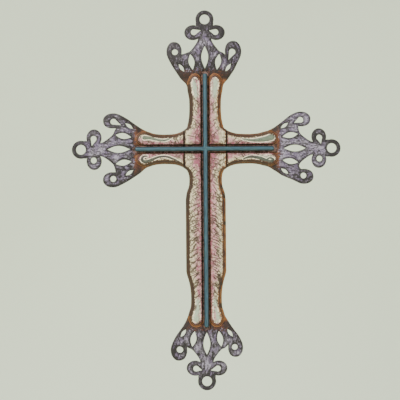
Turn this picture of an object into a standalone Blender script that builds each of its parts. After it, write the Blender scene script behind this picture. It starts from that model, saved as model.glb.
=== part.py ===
"""A wall cross of pressed and pierced steel sheet, with a cross of round bar let into its face.

The cross hangs with its back on the wall: the wall plane is y = 0, the front faces -Y and +Z is up.
The origin is on the back of the hanger plate. Sheet outlines are drawn in the plane of the wall,
with x to the right, z up and (0, 0) where the bars cross, and each point then gets two depths,
measured out from the wall: one for the front of the sheet and one for its back.
"""

import math
from dataclasses import dataclass
from functools import lru_cache

import bpy
import bmesh
import numpy as np
from mathutils import Matrix, Vector
from mathutils.geometry import delaunay_2d_cdt

# Lengths from the crossing of the bars to the painted band where each finial starts, in metres
TOP_BAND = 0.0998
BOTTOM_BAND = 0.2352
LEFT_BAND = 0.0932
RIGHT_BAND = 0.0973
FINIAL_LENGTH = 0.0825
RIGHT_FINIAL_LENGTH = 0.0805

# Widths of the plates
POST_HALF_WIDTH = 0.0277
CORNER_HEIGHT = 0.0253
TOP_WAIST = 0.0209
BOTTOM_WAIST = 0.0203
SIDE_WAIST = 0.0194

# The sheet, and how far its face stands out from the wall
SHEET = 0.0015
RIM_DEPTH = 0.0080
PANEL_DEPTH = 0.0123
PILLOW_RISE = 0.0011
PILLOW_REACH = 0.0045
TRENCH_DEPTH = 0.0092
BORDER_WIDTH = 0.0044
PANEL_TO_BAND = 0.0045
SEAM_EASE = 0.0008
BAND_DEPTH = 0.0112
FAN_DEPTH = 0.0142
TIP_DEPTH = 0.0092
VOLUTE_DROP = 0.0036

# The round bars
BAR_RADIUS = 0.0032
BAR_EDGE_GAP = 0.0005
TRENCH_SLOPE = 0.0028
BAR_TO_BAND = 0.0012
RIGHT_BAR_TO_BAND = 0.0075
BAR_NOSE = 0.0022
BAR_SIDES = 16

# The hanger plate behind the top arm
HANGER_RISE = 0.0480
HANGER_UP = 0.0220
HANGER_DOWN = 0.0090
HANGER_THICKNESS = 0.0020
KEYHOLE_RISE = 0.0092
KEYHOLE_RADIUS = 0.0042
KEYHOLE_SLOT_RADIUS = 0.0022
KEYHOLE_SLOT_RISE = 0.0085

CLEARANCE = 0.0003
CURVE_STEP = 0.0042
GRID_STEP = 0.0085

# A finial is cut freehand, so its outline is kept as shares of its length: (across, along) from the
# middle of the band. The edge runs up from the waist, round the volute and into the notch beside it.
FINIAL_EDGE = (
    (0.300, -0.172), (0.362, -0.072), (0.440, 0.038), (0.525, 0.165), (0.585, 0.300),
    (0.582, 0.415), (0.530, 0.492), (0.458, 0.508), (0.388, 0.476), (0.350, 0.395), (0.348, 0.302),
)
FIRST_VOLUTE_POINT = 3
SHOULDER_EDGE = (
    (0.290, 0.318), (0.234, 0.345), (0.170, 0.420), (0.124, 0.490), (0.107, 0.540),
    (0.107, 0.600), (0.118, 0.690), (0.140, 0.775), (0.134, 0.840),
)
CURL_CENTRE = (0.186, 0.645)
CURL_RADII = (0.138, 0.121)
CURL_EYE = (0.172, 0.652)
EYE_RADIUS = 0.047
CURL_SLIT_AIM = 75
VOLUTE_SLIT_AIM = 25
VOLUTE_EYE = (0.455, 0.342)
RING_CENTRE = 0.8553
RING_RADIUS = 0.1447
RING_HOLE_RADIUS = 0.078
MIDDLE_ALMOND = (0.0, 0.250, 0.054, 0.178, 0.0)
INNER_ALMOND = (0.212, 0.175, 0.046, 0.125, -9.0)
OUTER_ALMOND = (0.372, 0.083, 0.026, 0.072, -36.0)

# The waisted edges: (share of the way from the corner to the finial, width as a multiple of the waist)
TOP_PROFILE = ((0.04, 1.18), (0.13, 1.10), (0.26, 1.03), (0.44, 1.0), (0.67, 1.01), (0.85, 1.10))
BOTTOM_PROFILE = (
    (0.014, 1.21), (0.04, 1.10), (0.075, 1.06), (0.12, 1.09), (0.16, 1.22), (0.205, 1.29), (0.26, 1.30),
    (0.64, 1.30), (0.70, 1.29), (0.75, 1.16), (0.80, 1.05), (0.86, 1.0), (0.93, 1.02), (0.97, 1.13),
)
SIDE_PROFILE = ((0.04, 1.22), (0.12, 1.13), (0.27, 1.03), (0.55, 1.0), (0.75, 1.05), (0.87, 1.14))


@dataclass(frozen=True)
class Scroll:
    """What sets one side of a finial apart from the pattern, as shares of its length: how far its
    volute sits out and up, its size, the tuck of the edge below it, and the slits out of its eyes."""

    out: float = 0.0
    up: float = 0.0
    size: float = 1.0
    tuck: float = 0.0
    volute_slit: float = 0.0
    curl_slit: float = 0.0

    def moved(self, share_across, share_along):
        """A point of the volute, swelled about its eye and moved with it."""
        eye_across, eye_along = VOLUTE_EYE
        return (
            eye_across + (share_across - eye_across) * self.size + self.out,
            eye_along + (share_along - eye_along) * self.size + self.up,
        )

    def edge(self):
        """The edge of the pattern with this side's own differences."""
        points = []
        for n, (across, along) in enumerate(FINIAL_EDGE):
            if n < FIRST_VOLUTE_POINT:
                points.append((across - self.tuck * min(n, 1), along))
            else:
                points.append(self.moved(across, along))
        return points


@dataclass(frozen=True)
class Arm:
    """One arm: its turn anticlockwise from straight up, and its sizes from the crossing outwards."""

    turn: float
    band: float
    bar_end: float
    finial: float
    corner: tuple
    waist: float
    profile: tuple
    left: Scroll
    right: Scroll

    def place(self, across, along):
        """A point of the arm's own frame, in the plane of the wall."""
        sine, cosine = math.sin(math.radians(self.turn)), math.cos(math.radians(self.turn))
        return (across * cosine - along * sine, across * sine + along * cosine)

    def measure(self, x, z):
        """How far a point lies across the arm's middle line and along it."""
        sine, cosine = math.sin(math.radians(self.turn)), math.cos(math.radians(self.turn))
        return (x * cosine + z * sine, z * cosine - x * sine)

    def on_finial(self, share_across, share_along):
        return (share_across * self.finial, self.band + share_along * self.finial)

    def scrolls(self):
        return ((-1, self.left), (1, self.right))


SEAM = POST_HALF_WIDTH + CLEARANCE
POST_CORNER = (CORNER_HEIGHT, POST_HALF_WIDTH)
SIDE_CORNER = (SEAM, CORNER_HEIGHT - CLEARANCE)

TOP = Arm(
    0, TOP_BAND, TOP_BAND - BAR_TO_BAND, FINIAL_LENGTH, POST_CORNER, TOP_WAIST, TOP_PROFILE,
    left=Scroll(out=0.020, up=-0.008, tuck=-0.032, curl_slit=0.07),
    right=Scroll(out=-0.018, up=-0.010, size=1.08, tuck=-0.020, volute_slit=0.09, curl_slit=0.06),
)
BOTTOM = Arm(
    180, BOTTOM_BAND, BOTTOM_BAND - BAR_TO_BAND, FINIAL_LENGTH, POST_CORNER, BOTTOM_WAIST, BOTTOM_PROFILE,
    left=Scroll(out=-0.010, up=-0.034, size=0.98, curl_slit=0.07),
    right=Scroll(out=-0.026, up=0.004, size=1.08, tuck=0.016, curl_slit=0.05),
)
LEFT = Arm(
    90, LEFT_BAND, LEFT_BAND - BAR_TO_BAND, FINIAL_LENGTH, SIDE_CORNER, SIDE_WAIST, SIDE_PROFILE,
    left=Scroll(out=0.014, tuck=-0.024),
    right=Scroll(out=-0.012, up=-0.008, tuck=0.006, volute_slit=0.09, curl_slit=0.07),
)
RIGHT = Arm(
    -90, RIGHT_BAND, RIGHT_BAND - RIGHT_BAR_TO_BAND, RIGHT_FINIAL_LENGTH, SIDE_CORNER, SIDE_WAIST,
    SIDE_PROFILE,
    left=Scroll(out=0.008, up=0.004, tuck=0.010, volute_slit=0.07, curl_slit=0.06),
    right=Scroll(out=-0.008, up=0.048, tuck=0.0),
)


def eased(share):
    """0 below 0, 1 above 1 and a smooth rise between."""
    share = min(1.0, max(0.0, share))
    return share * share * (3 - 2 * share)


def mixed(low, high, share):
    return low + (high - low) * share


def smooth_line(points, step=CURVE_STEP):
    """A Catmull-Rom curve through the points, with a corner at each step of its length."""
    points = [Vector(p) for p in points]
    ends = [2 * points[0] - points[1], *points, 2 * points[-1] - points[-2]]
    line = [points[0]]
    for before, start, end, after in zip(ends, ends[1:], ends[2:], ends[3:]):
        corners = max(1, round((end - start).length / step))
        for n in range(1, corners + 1):
            t = n / corners
            line.append(
                0.5 * (2 * start + (end - before) * t + (2 * before - 5 * start + 4 * end - after) * t**2
                       + (3 * start - before - 3 * end + after) * t**3)
            )
    return line


def ellipse(centre, radii, sides=14):
    turns = [2 * math.pi * n / sides for n in range(sides)]
    return [(centre[0] + radii[0] * math.cos(a), centre[1] + radii[1] * math.sin(a)) for a in turns]


def almond(across, along, half_width, half_length, tilt, corners=5):
    """A pointed leaf outline, tilted outwards from the arm."""
    sides = [(half_width * math.sin(math.pi * n / corners), half_length * (2 * n / corners - 1))
             for n in range(corners)]
    leaf = sides + [(-wide, -far) for wide, far in sides]
    sine, cosine = math.sin(math.radians(tilt)), math.cos(math.radians(tilt))
    return [(across + wide * cosine - far * sine, along + wide * sine + far * cosine) for wide, far in leaf]


def eye(centre, radius, tail, aim, sides=9):
    """A round hole, drawn out to a slit of the length of tail in the direction of aim, in degrees."""
    if not tail:
        return ellipse(centre, (radius, radius), sides)
    spread = math.acos(radius / (radius + tail)) * 0.8
    turns = [math.radians(aim) + spread + (2 * math.pi - 2 * spread) * n / sides for n in range(sides + 1)]
    tip = math.radians(aim)
    return [(centre[0] + radius * math.cos(a), centre[1] + radius * math.sin(a)) for a in turns] + [
        (centre[0] + (radius + tail) * math.cos(tip), centre[1] + (radius + tail) * math.sin(tip))
    ]


@lru_cache
def side_edge(arm, scroll):
    """The cut edge on one side of an arm as (across, along): its waist and volute, then its shoulder."""
    corner_along, corner_across = arm.corner
    edge = scroll.edge()
    start = arm.band + edge[0][1] * arm.finial
    waist = [(arm.waist * wide, mixed(corner_along, start, share)) for share, wide in arm.profile]
    side = [(corner_across, corner_along), *waist, *(arm.on_finial(*p) for p in edge)]
    shoulder = [arm.on_finial(*p) for p in (edge[-1], *SHOULDER_EDGE)]
    return smooth_line(side), smooth_line(shoulder)[1:]


def arm_outline(arm):
    """The whole cut edge of an arm, from its right corner round the neck to its left corner."""
    left, right = ([
        arm.place(sign * across, along) for line in side_edge(arm, scroll) for across, along in line
    ] for sign, scroll in arm.scrolls())
    return right + left[::-1]


@lru_cache
def waist_table(arm, scroll):
    """The edge below the volute as (distances along the arm, half widths there)."""
    side = [p for p in side_edge(arm, scroll)[0] if p[1] < arm.band + 0.2 * arm.finial]
    return [p[1] for p in side], [p[0] for p in side]


def half_width(arm, along, sign):
    """The half width of one side of an arm at a distance along it, up to where its volute turns back."""
    corner_along, corner_across = arm.corner
    if along <= corner_along:
        return corner_across
    return float(np.interp(along, *waist_table(arm, arm.right if sign > 0 else arm.left)))


def finial_shapes(arm):
    """The curls and the tip ring of a finial, which join its neck."""
    size = arm.finial
    shapes = [
        ellipse(arm.on_finial(side * CURL_CENTRE[0], CURL_CENTRE[1]), [size * r for r in CURL_RADII], 16)
        for side in (-1, 1)
    ]
    shapes.append(ellipse(arm.on_finial(0, RING_CENTRE), [size * RING_RADIUS] * 2, 20))
    return [[arm.place(*p) for p in shape] for shape in shapes]


def finial_piercings(arm):
    """The tip ring's hole, the leaf piercings and the eyes of the curls and volutes."""
    size = arm.finial
    holes = [ellipse(arm.on_finial(0, RING_CENTRE), [size * RING_HOLE_RADIUS] * 2, 14)]
    across, along, wide, far, tilt = MIDDLE_ALMOND
    holes.append(almond(*arm.on_finial(across, along), wide * size, far * size, tilt))
    for side, scroll in arm.scrolls():
        for across, along, wide, far, tilt in (INNER_ALMOND, OUTER_ALMOND):
            holes.append(almond(*arm.on_finial(side * across, along), wide * size, far * size, side * tilt))
        curl = arm.on_finial(side * CURL_EYE[0], CURL_EYE[1])
        across, along = scroll.moved(*VOLUTE_EYE)
        volute = arm.on_finial(side * across, along)
        radius = EYE_RADIUS * size
        holes.append(eye(curl, radius, scroll.curl_slit * size, 90 + side * CURL_SLIT_AIM))
        slit = scroll.volute_slit * size
        holes.append(eye(volute, radius * scroll.size, slit, 270 - side * VOLUTE_SLIT_AIM))
    return [[arm.place(*p) for p in hole] for hole in holes]


PANEL_INNER = BAR_RADIUS + BAR_EDGE_GAP + TRENCH_SLOPE


def panel_start(arm):
    return PANEL_INNER if arm.corner is POST_CORNER else SEAM + SEAM_EASE


def panel_outer(arm, along, side):
    """How far from the arm's middle line a raised panel reaches, at a distance along the arm."""
    if along < arm.corner[0] - SEAM_EASE:
        return POST_HALF_WIDTH - SEAM_EASE
    return half_width(arm, along, side) - BORDER_WIDTH


def panel_outline(arm, side):
    """One raised panel beside the bar, round at the end by the finial."""
    start, end = panel_start(arm), arm.band - PANEL_TO_BAND
    radius = (panel_outer(arm, end, side) - PANEL_INNER) / 2
    straight = end - radius
    count = max(2, round((straight - start) / (1.5 * CURVE_STEP)))
    stations = [mixed(start, straight, n / count) for n in range(count + 1)]
    outline = [(panel_outer(arm, along, side), along) for along in stations]
    half = (outline[-1][0] - PANEL_INNER) / 2
    for n in range(1, 7):
        turn = math.pi * n / 7
        outline.append((PANEL_INNER + half * (1 + math.cos(turn)), straight + radius * math.sin(turn)))
    outline += [(PANEL_INNER, along) for along in stations[::-1]]
    return [arm.place(side * across, along) for across, along in outline]


def distance_to(line, x, z, closed=True):
    """How far a point lies from a line of straight stretches."""
    points = np.array(line)
    starts, ends = (points, np.roll(points, -1, axis=0)) if closed else (points[:-1], points[1:])
    along = ends - starts
    reach = np.einsum("ij,ij->i", along, along)
    offset = np.array((x, z)) - starts
    share = np.clip(np.einsum("ij,ij->i", offset, along) / np.maximum(reach, 1e-12), 0, 1)
    return float(np.linalg.norm(offset - along * share[:, None], axis=1).min())


def inside(line, x, z):
    """Whether a point lies within a closed line, by how often a ray from it crosses the line."""
    crossings = 0
    for (ax, az), (bx, bz) in zip(line, [*line[1:], line[0]]):
        if (az > z) != (bz > z) and x < ax + (z - az) / (bz - az) * (bx - ax):
            crossings += 1
    return crossings % 2 == 1


def finial_depth(share, across):
    """The dished finial: it swells over the fan, dips at the neck and lies back at the volutes."""
    keys = ((0.0, BAND_DEPTH), (0.2, FAN_DEPTH), (0.55, mixed(TIP_DEPTH, FAN_DEPTH, 0.25)), (1.0, TIP_DEPTH))
    depth = keys[0][1]
    for (low, low_depth), (high, high_depth) in zip(keys, keys[1:]):
        if share > low:
            depth = mixed(low_depth, high_depth, eased((share - low) / (high - low)))
    volute_reach = FINIAL_EDGE[4][0] * FINIAL_LENGTH
    return depth - VOLUTE_DROP * min(1.0, (across / volute_reach) ** 2)


class Plate:
    """A pressed plate of one or two arms, with the depths of its front and its back."""

    def __init__(self, arms):
        self.arms = arms
        self.panels = [panel_outline(arm, side) for arm in arms for side in (-1, 1)]

    def arm_at(self, x, z):
        return max(self.arms, key=lambda arm: arm.measure(x, z)[1])

    def trench(self, x, z):
        """1 over the trench that the bars lie in, 0 clear of it."""
        upright = [(0, -BOTTOM.bar_end), (0, TOP.bar_end)]
        level = [(-LEFT.bar_end, 0), (RIGHT.bar_end, 0)]
        away = min(distance_to(upright, x, z, False), distance_to(level, x, z, False))
        return eased(1 - (away - BAR_RADIUS - BAR_EDGE_GAP) / TRENCH_SLOPE)

    def front(self, x, z):
        arm = self.arm_at(x, z)
        across, along = arm.measure(x, z)
        finial = finial_depth((along - arm.band) / arm.finial, across)
        depth = mixed(RIM_DEPTH, finial, eased((along - arm.band) / (2 * PANEL_TO_BAND) + 1))
        within = [distance_to(p, x, z) * (1 if inside(p, x, z) else -1) for p in self.panels]
        nearest = max(within)
        depth = mixed(depth, PANEL_DEPTH, eased(1 + nearest / BORDER_WIDTH))
        depth += PILLOW_RISE * eased(nearest / PILLOW_REACH)
        return mixed(depth, TRENCH_DEPTH, self.trench(x, z))

    def edge_distance(self, x, z):
        """How far a point lies in from the turned-back edges of the plate."""
        arm = self.arm_at(x, z)
        across, along = arm.measure(x, z)
        inward = half_width(arm, along, across) - abs(across)
        return inward if len(self.arms) == 2 else min(inward, along - SEAM)

    def flange(self, x, z):
        """1 where the edge is turned back to the wall, 0 out on the finial."""
        arm = self.arm_at(x, z)
        return 1 - eased((arm.measure(x, z)[1] - arm.band) / (2 * PANEL_TO_BAND) + 1)

    def back(self, x, z):
        sheet_back = self.front(x, z) - SHEET
        if self.edge_distance(x, z) < SHEET + CLEARANCE / 2:
            return sheet_back * (1 - self.flange(x, z))
        return sheet_back

    def flange_lines(self):
        """The foot and the top of the inner face of the turned-back edge, as open lines."""
        lines = []
        for inset in (SHEET, SHEET + CLEARANCE):
            for arm in self.arms:
                lines += self.arm_flange_lines(arm, inset)
        return lines

    def arm_flange_lines(self, arm, inset):
        first = 0.0 if len(self.arms) == 2 else SEAM + inset
        last = arm.band + PANEL_TO_BAND
        lines = []
        for sign, scroll in arm.scrolls():
            stations = [first, *(p[1] for p in side_edge(arm, scroll)[0] if first < p[1] < last), last]
            half = [(half_width(arm, along, sign) - inset, along) for along in stations]
            lines.append([arm.place(sign * across, along) for across, along in half])
        if len(self.arms) == 1:
            across = arm.corner[1] - inset
            lines.append([arm.place(share * across, first) for share in (-1, -0.3, 0.3, 1)])
        return lines

    def crease_lines(self):
        """Open lines that the facets follow: the foot of the trench on both sides of each bar."""
        half = BAR_RADIUS + BAR_EDGE_GAP
        lines = []
        for arm in self.arms:
            first = 0.0 if len(self.arms) == 2 else SEAM
            for side in (-half, half):
                lines.append([arm.place(side, first + CLEARANCE), arm.place(side, arm.bar_end)])
        if len(self.arms) == 2:
            edge = POST_HALF_WIDTH - CLEARANCE
            lines += [[(-edge, side), (edge, side)] for side in (-half, half)]
        return lines


def grid_points(lines, loops):
    """Points on an even grid that keep clear of the lines, so that no facet is a sliver."""
    corners = np.array([tuple(p) for loop in loops for p in loop])
    low, high = corners.min(axis=0), corners.max(axis=0)
    columns = np.arange(low[0] + GRID_STEP / 2, high[0], GRID_STEP)
    rows = np.arange(low[1] + GRID_STEP / 2, high[1], GRID_STEP)
    clear = [
        (x, z) for x in columns for z in rows
        if min(distance_to(line, x, z, closed=line in loops) for line in lines + loops) > 0.3 * GRID_STEP
    ]
    return clear


def triangles_within(solid_loops, hole_loops, lines, loose_points):
    """Triangles over all that lies in a solid loop and in no hole, with an edge along every line."""
    points, edges, faces = [], [], []
    for loop in solid_loops + hole_loops:
        faces.append(list(range(len(points), len(points) + len(loop))))
        points += [Vector(p) for p in loop]
    for line in lines:
        first = len(points)
        points += [Vector(p) for p in line]
        edges += [(first + n, first + n + 1) for n in range(len(line) - 1)]
    points += [Vector(p) for p in loose_points]
    corners, _, triangles, _, _, sources = delaunay_2d_cdt(points, edges, faces, 0, 1e-6)
    solid_count = len(solid_loops)
    kept = [tri for tri, source in zip(triangles, sources) if source and max(source) < solid_count]
    return corners, kept


def sheet_object(name, corners, triangles, front, back, material):
    """Two skins over the triangles, joined all round by walls along their open edges."""
    mesh = bmesh.new()
    used = sorted({n for tri in triangles for n in tri})
    front_row, back_row = {}, {}
    for n in used:
        x, z = corners[n]
        front_row[n] = mesh.verts.new((x, -front(x, z), z - HANGER_RISE))
        back_row[n] = mesh.verts.new((x, -back(x, z), z - HANGER_RISE))
    directed = set()
    for tri in triangles:
        mesh.faces.new([front_row[n] for n in tri])
        mesh.faces.new([back_row[n] for n in reversed(tri)])
        directed |= {(tri[n - 1], tri[n]) for n in range(3)}
    for start, end in sorted(directed):
        if (end, start) not in directed:
            mesh.faces.new((front_row[end], front_row[start], back_row[start], back_row[end]))
    return finished(name, mesh, material)


def finished(name, mesh, material):
    """The bmesh as an object of the scene, shaded smooth with its folds left sharp."""
    data = bpy.data.meshes.new(name)
    mesh.to_mesh(data)
    mesh.free()
    data.shade_smooth()
    data.set_sharp_from_angle(angle=math.radians(35))
    data.materials.append(material)
    made = bpy.data.objects.new(name, data)
    bpy.context.scene.collection.objects.link(made)
    return made


def paint(name, colour, roughness, metallic):
    material = bpy.data.materials.new(name)
    material.use_nodes = True
    shader = material.node_tree.nodes["Principled BSDF"]
    shader.inputs["Base Color"].default_value = (*colour, 1)
    shader.inputs["Roughness"].default_value = roughness
    shader.inputs["Metallic"].default_value = metallic
    material.diffuse_color = (*colour, 1)
    return material


def pressed_plate(name, arms, material):
    """A plate with its finials: hollow behind, with its edges turned back to the wall."""
    plate = Plate(arms)
    body = [p for arm in arms for p in arm_outline(arm)]
    solid_loops = [body] + [shape for arm in arms for shape in finial_shapes(arm)]
    hole_loops = [hole for arm in arms for hole in finial_piercings(arm)]
    lines = plate.flange_lines() + plate.crease_lines()
    panels = [[*panel, panel[0]] for panel in plate.panels]
    loose = grid_points(lines + panels, solid_loops + hole_loops)
    corners, triangles = triangles_within(solid_loops, hole_loops, lines + panels, loose)
    return sheet_object(name, corners, triangles, plate.front, plate.back, material)


def bar(name, stations, direction, material):
    """A round bar through (distance, radius) stations along a direction from the crossing."""
    mesh = bmesh.new()
    side = direction.orthogonal().normalized()
    rows = []
    for distance, radius in stations:
        row = []
        for n in range(BAR_SIDES):
            turned = Matrix.Rotation(2 * math.pi * (n + 0.5) / BAR_SIDES, 3, direction) @ side
            row.append(mesh.verts.new(turned * radius + direction * distance))
        rows.append(row)
    for low, high in zip(rows, rows[1:]):
        for n in range(BAR_SIDES):
            mesh.faces.new((low[n - 1], low[n], high[n], high[n - 1]))
    mesh.faces.new(rows[0][::-1])
    mesh.faces.new(rows[-1])
    centre_depth = TRENCH_DEPTH + CLEARANCE + BAR_RADIUS
    bmesh.ops.translate(mesh, vec=(0, -centre_depth, -HANGER_RISE), verts=mesh.verts)
    return finished(name, mesh, material)


def nose(end):
    """The stations of a hammered round end that stops at the given distance."""
    return [
        (end - BAR_NOSE, BAR_RADIUS), (end - 0.4 * BAR_NOSE, 0.86 * BAR_RADIUS), (end, 0.5 * BAR_RADIUS)
    ]


def upright_bar(material):
    stations = [(-distance, radius) for distance, radius in nose(BOTTOM.bar_end)[::-1]]
    return bar("upright_bar", stations + nose(TOP.bar_end), Vector((0, 0, 1)), material)


def side_bar(name, arm, material):
    """A short bar, its inner end cut hollow so that it fits round the upright one."""
    x, z = arm.place(0, 1)
    piece = bar(name, [(0.2 * BAR_RADIUS, BAR_RADIUS), *nose(arm.bar_end)], Vector((x, 0, z)), material)
    cutter_stations = [(-3 * BAR_RADIUS, BAR_RADIUS + CLEARANCE), (3 * BAR_RADIUS, BAR_RADIUS + CLEARANCE)]
    cutter = bar(name + "_cutter", cutter_stations, Vector((0, 0, 1)), material)
    cutter.hide_render = True
    cutter.display_type = "WIRE"
    cope = piece.modifiers.new("Cope", "BOOLEAN")
    cope.operation = "DIFFERENCE"
    cope.object = cutter
    return piece


def hanger_plate(material):
    """A flat plate between the turned-back edges of the top arm, with a keyhole for a nail."""
    low, high = HANGER_RISE - HANGER_DOWN, HANGER_RISE + HANGER_UP
    stations = [mixed(low, high, n / 6) for n in range(7)]
    right = [(half_width(TOP, along, 1) - SHEET - 2 * CLEARANCE, along) for along in stations]
    left = [(SHEET + 2 * CLEARANCE - half_width(TOP, along, -1), along) for along in stations]
    outline = right + left[::-1]
    hole = HANGER_RISE + KEYHOLE_RISE
    slot_top = hole + KEYHOLE_SLOT_RISE
    meet = math.asin(KEYHOLE_SLOT_RADIUS / KEYHOLE_RADIUS)
    around = [math.pi / 2 + meet + (2 * math.pi - 2 * meet) * n / 14 for n in range(15)]
    over = [math.pi * n / 6 for n in range(7)]
    keyhole = [(KEYHOLE_RADIUS * math.cos(a), hole + KEYHOLE_RADIUS * math.sin(a)) for a in around]
    keyhole += [(KEYHOLE_SLOT_RADIUS * math.cos(a), slot_top + KEYHOLE_SLOT_RADIUS * math.sin(a)) for a in over]
    corners, triangles = triangles_within([outline], [keyhole], [], [])
    return sheet_object(
        "hanger_plate", corners, triangles, lambda x, z: HANGER_THICKNESS, lambda x, z: 0.0, material
    )


def main():
    for old in list(bpy.data.objects):
        bpy.data.objects.remove(old, do_unlink=True)
    painted_sheet = paint("painted_sheet", (0.46, 0.40, 0.34), 0.62, 0.25)
    painted_bar = paint("painted_bar", (0.10, 0.20, 0.24), 0.45, 0.35)
    bare_steel = paint("bare_steel", (0.16, 0.13, 0.11), 0.60, 0.70)
    pressed_plate("post", (TOP, BOTTOM), painted_sheet)
    pressed_plate("left_arm", (LEFT,), painted_sheet)
    pressed_plate("right_arm", (RIGHT,), painted_sheet)
    upright_bar(painted_bar)
    side_bar("left_bar", LEFT, painted_bar)
    side_bar("right_bar", RIGHT, painted_bar)
    hanger_plate(bare_steel)


main()
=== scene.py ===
# %% [markdown]
# # A painted steel wall cross
#
# The cross is cut from steel sheet with a torch, pressed so that its panels swell, pierced at the four
# tips and painted by hand. A thinner cross of round bar lies in a trench down the middle. The solid
# model that comes in here is plain: this lesson gives it its fine surface, its edges and its paint.
# Its back lies in the plane y = 0, its front faces -Y and up is +Z.

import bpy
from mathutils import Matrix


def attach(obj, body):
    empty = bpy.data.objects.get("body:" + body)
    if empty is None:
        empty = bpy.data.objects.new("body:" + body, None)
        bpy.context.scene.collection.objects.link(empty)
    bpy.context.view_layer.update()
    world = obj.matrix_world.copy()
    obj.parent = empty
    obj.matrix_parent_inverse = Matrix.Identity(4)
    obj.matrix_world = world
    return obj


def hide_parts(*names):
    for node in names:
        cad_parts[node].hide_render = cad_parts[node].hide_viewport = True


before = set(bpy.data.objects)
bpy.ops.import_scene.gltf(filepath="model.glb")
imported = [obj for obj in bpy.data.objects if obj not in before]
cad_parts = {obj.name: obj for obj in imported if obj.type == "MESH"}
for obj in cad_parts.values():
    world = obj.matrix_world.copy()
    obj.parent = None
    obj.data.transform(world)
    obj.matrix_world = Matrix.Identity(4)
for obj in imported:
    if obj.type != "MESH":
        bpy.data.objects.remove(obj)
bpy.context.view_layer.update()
print("solid pieces:", ", ".join(sorted(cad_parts)))

# %% Tools of the lesson
import math
from dataclasses import dataclass
from functools import lru_cache

import bmesh
import bpy
import numpy as np
from mathutils import Matrix, Vector, noise
from mathutils.geometry import delaunay_2d_cdt
from mathutils.kdtree import KDTree

MM = 0.001


def add_object(name, data):
    """A new object of the scene."""
    made = bpy.data.objects.new(name, data)
    bpy.context.scene.collection.objects.link(made)
    return made


def sine_cosine(degrees):
    turn = math.radians(degrees)
    return math.sin(turn), math.cos(turn)


# %% [markdown]
# ## Sizes
#
# These are the sizes that the solid model was made from, in metres. Everything is drawn flat, in x
# and z, around the point where the bars cross, which lies HANGER_RISE below the origin.

# %% Sizes shared with the solid model
TOP_BAND = 0.0998
BOTTOM_BAND = 0.2352
LEFT_BAND = 0.0932
RIGHT_BAND = 0.0973
FINIAL_LENGTH = 0.0825
RIGHT_FINIAL_LENGTH = 0.0805
POST_HALF_WIDTH = 0.0277
CORNER_HEIGHT = 0.0253
TOP_WAIST = 0.0209
BOTTOM_WAIST = 0.0203
SIDE_WAIST = 0.0194
SHEET = 0.0015
RIM_DEPTH = 0.0080
PANEL_DEPTH = 0.0123
PILLOW_RISE = 0.0011
PILLOW_REACH = 0.0045
TRENCH_DEPTH = 0.0092
BORDER_WIDTH = 0.0044
PANEL_TO_BAND = 0.0045
SEAM_EASE = 0.0008
BAND_DEPTH = 0.0112
FAN_DEPTH = 0.0142
TIP_DEPTH = 0.0092
VOLUTE_DROP = 0.0036
BAR_RADIUS = 0.0032
BAR_EDGE_GAP = 0.0005
TRENCH_SLOPE = 0.0028
BAR_TO_BAND = 0.0012
RIGHT_BAR_TO_BAND = 0.0075
HANGER_RISE = 0.0480
HANGER_UP = 0.0220
HANGER_DOWN = 0.0090
CLEARANCE = 0.0003
BAR_DEPTH = TRENCH_DEPTH + CLEARANCE + BAR_RADIUS
PANEL_INNER = BAR_RADIUS + BAR_EDGE_GAP + TRENCH_SLOPE

# %% Sizes of the fine mesh
CURVE_STEP = 0.7 * MM
GRID_STEP = 0.66 * MM
BACK_STEP = 3.0 * MM
EDGE_RINGS = (0.20 * MM, 0.48 * MM, 0.85 * MM)
# The share of its inset that a ring's corner keeps clear of every cut edge
RING_FREEDOM = 0.9
GRID_MARGIN = EDGE_RINGS[-1] + 0.6 * GRID_STEP
BACK_MARGIN = SHEET + 2 * CLEARANCE
FLANGE_STEP = 2 * MM
FLANGE_SHARES = (-1, -0.3, 0.3, 1)
print("grid of the front:", GRID_STEP / MM, "mm")

# %% [markdown]
# ## The outline of an arm
#
# Each arm ends in the same finial: a fan with leaf piercings, a volute on each side, two curls and a
# ring. The maker cut each one freehand from one pattern, so the pattern is kept as shares of the
# finial's length, and a Scroll says how one side of one finial departs from it.

# %% The pattern of a finial
FINIAL_EDGE = (
    (0.300, -0.172), (0.362, -0.072), (0.440, 0.038), (0.525, 0.165), (0.585, 0.300),
    (0.582, 0.415), (0.530, 0.492), (0.458, 0.508), (0.388, 0.476), (0.350, 0.395), (0.348, 0.302),
)
# Which points of the edge start the volute and lie furthest out, and the share where it turns back
FIRST_VOLUTE_POINT = 3
WIDEST_POINT = 4
VOLUTE_TURN = 0.2
SHOULDER_EDGE = (
    (0.290, 0.318), (0.234, 0.345), (0.170, 0.420), (0.124, 0.490), (0.107, 0.540),
    (0.107, 0.600), (0.118, 0.690), (0.140, 0.775), (0.134, 0.840),
)
CURL_CENTRE = (0.186, 0.645)
CURL_RADII = (0.138, 0.121)
CURL_EYE = (0.172, 0.652)
EYE_RADIUS = 0.047
# The share of the tangent's angle at which an eye leaves its circle for the tip of its slit
EYE_WRAP = 0.8
CURL_SLIT_AIM = 75
VOLUTE_SLIT_AIM = 25
VOLUTE_EYE = (0.455, 0.342)
RING_CENTRE = 0.8553
RING_RADIUS = 0.1447
RING_HOLE_RADIUS = 0.078
MIDDLE_LEAF = (0.0, 0.250, 0.054, 0.178, 0.0)
INNER_LEAF = (0.212, 0.175, 0.046, 0.125, -9.0)
OUTER_LEAF = (0.372, 0.083, 0.026, 0.072, -36.0)


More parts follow.
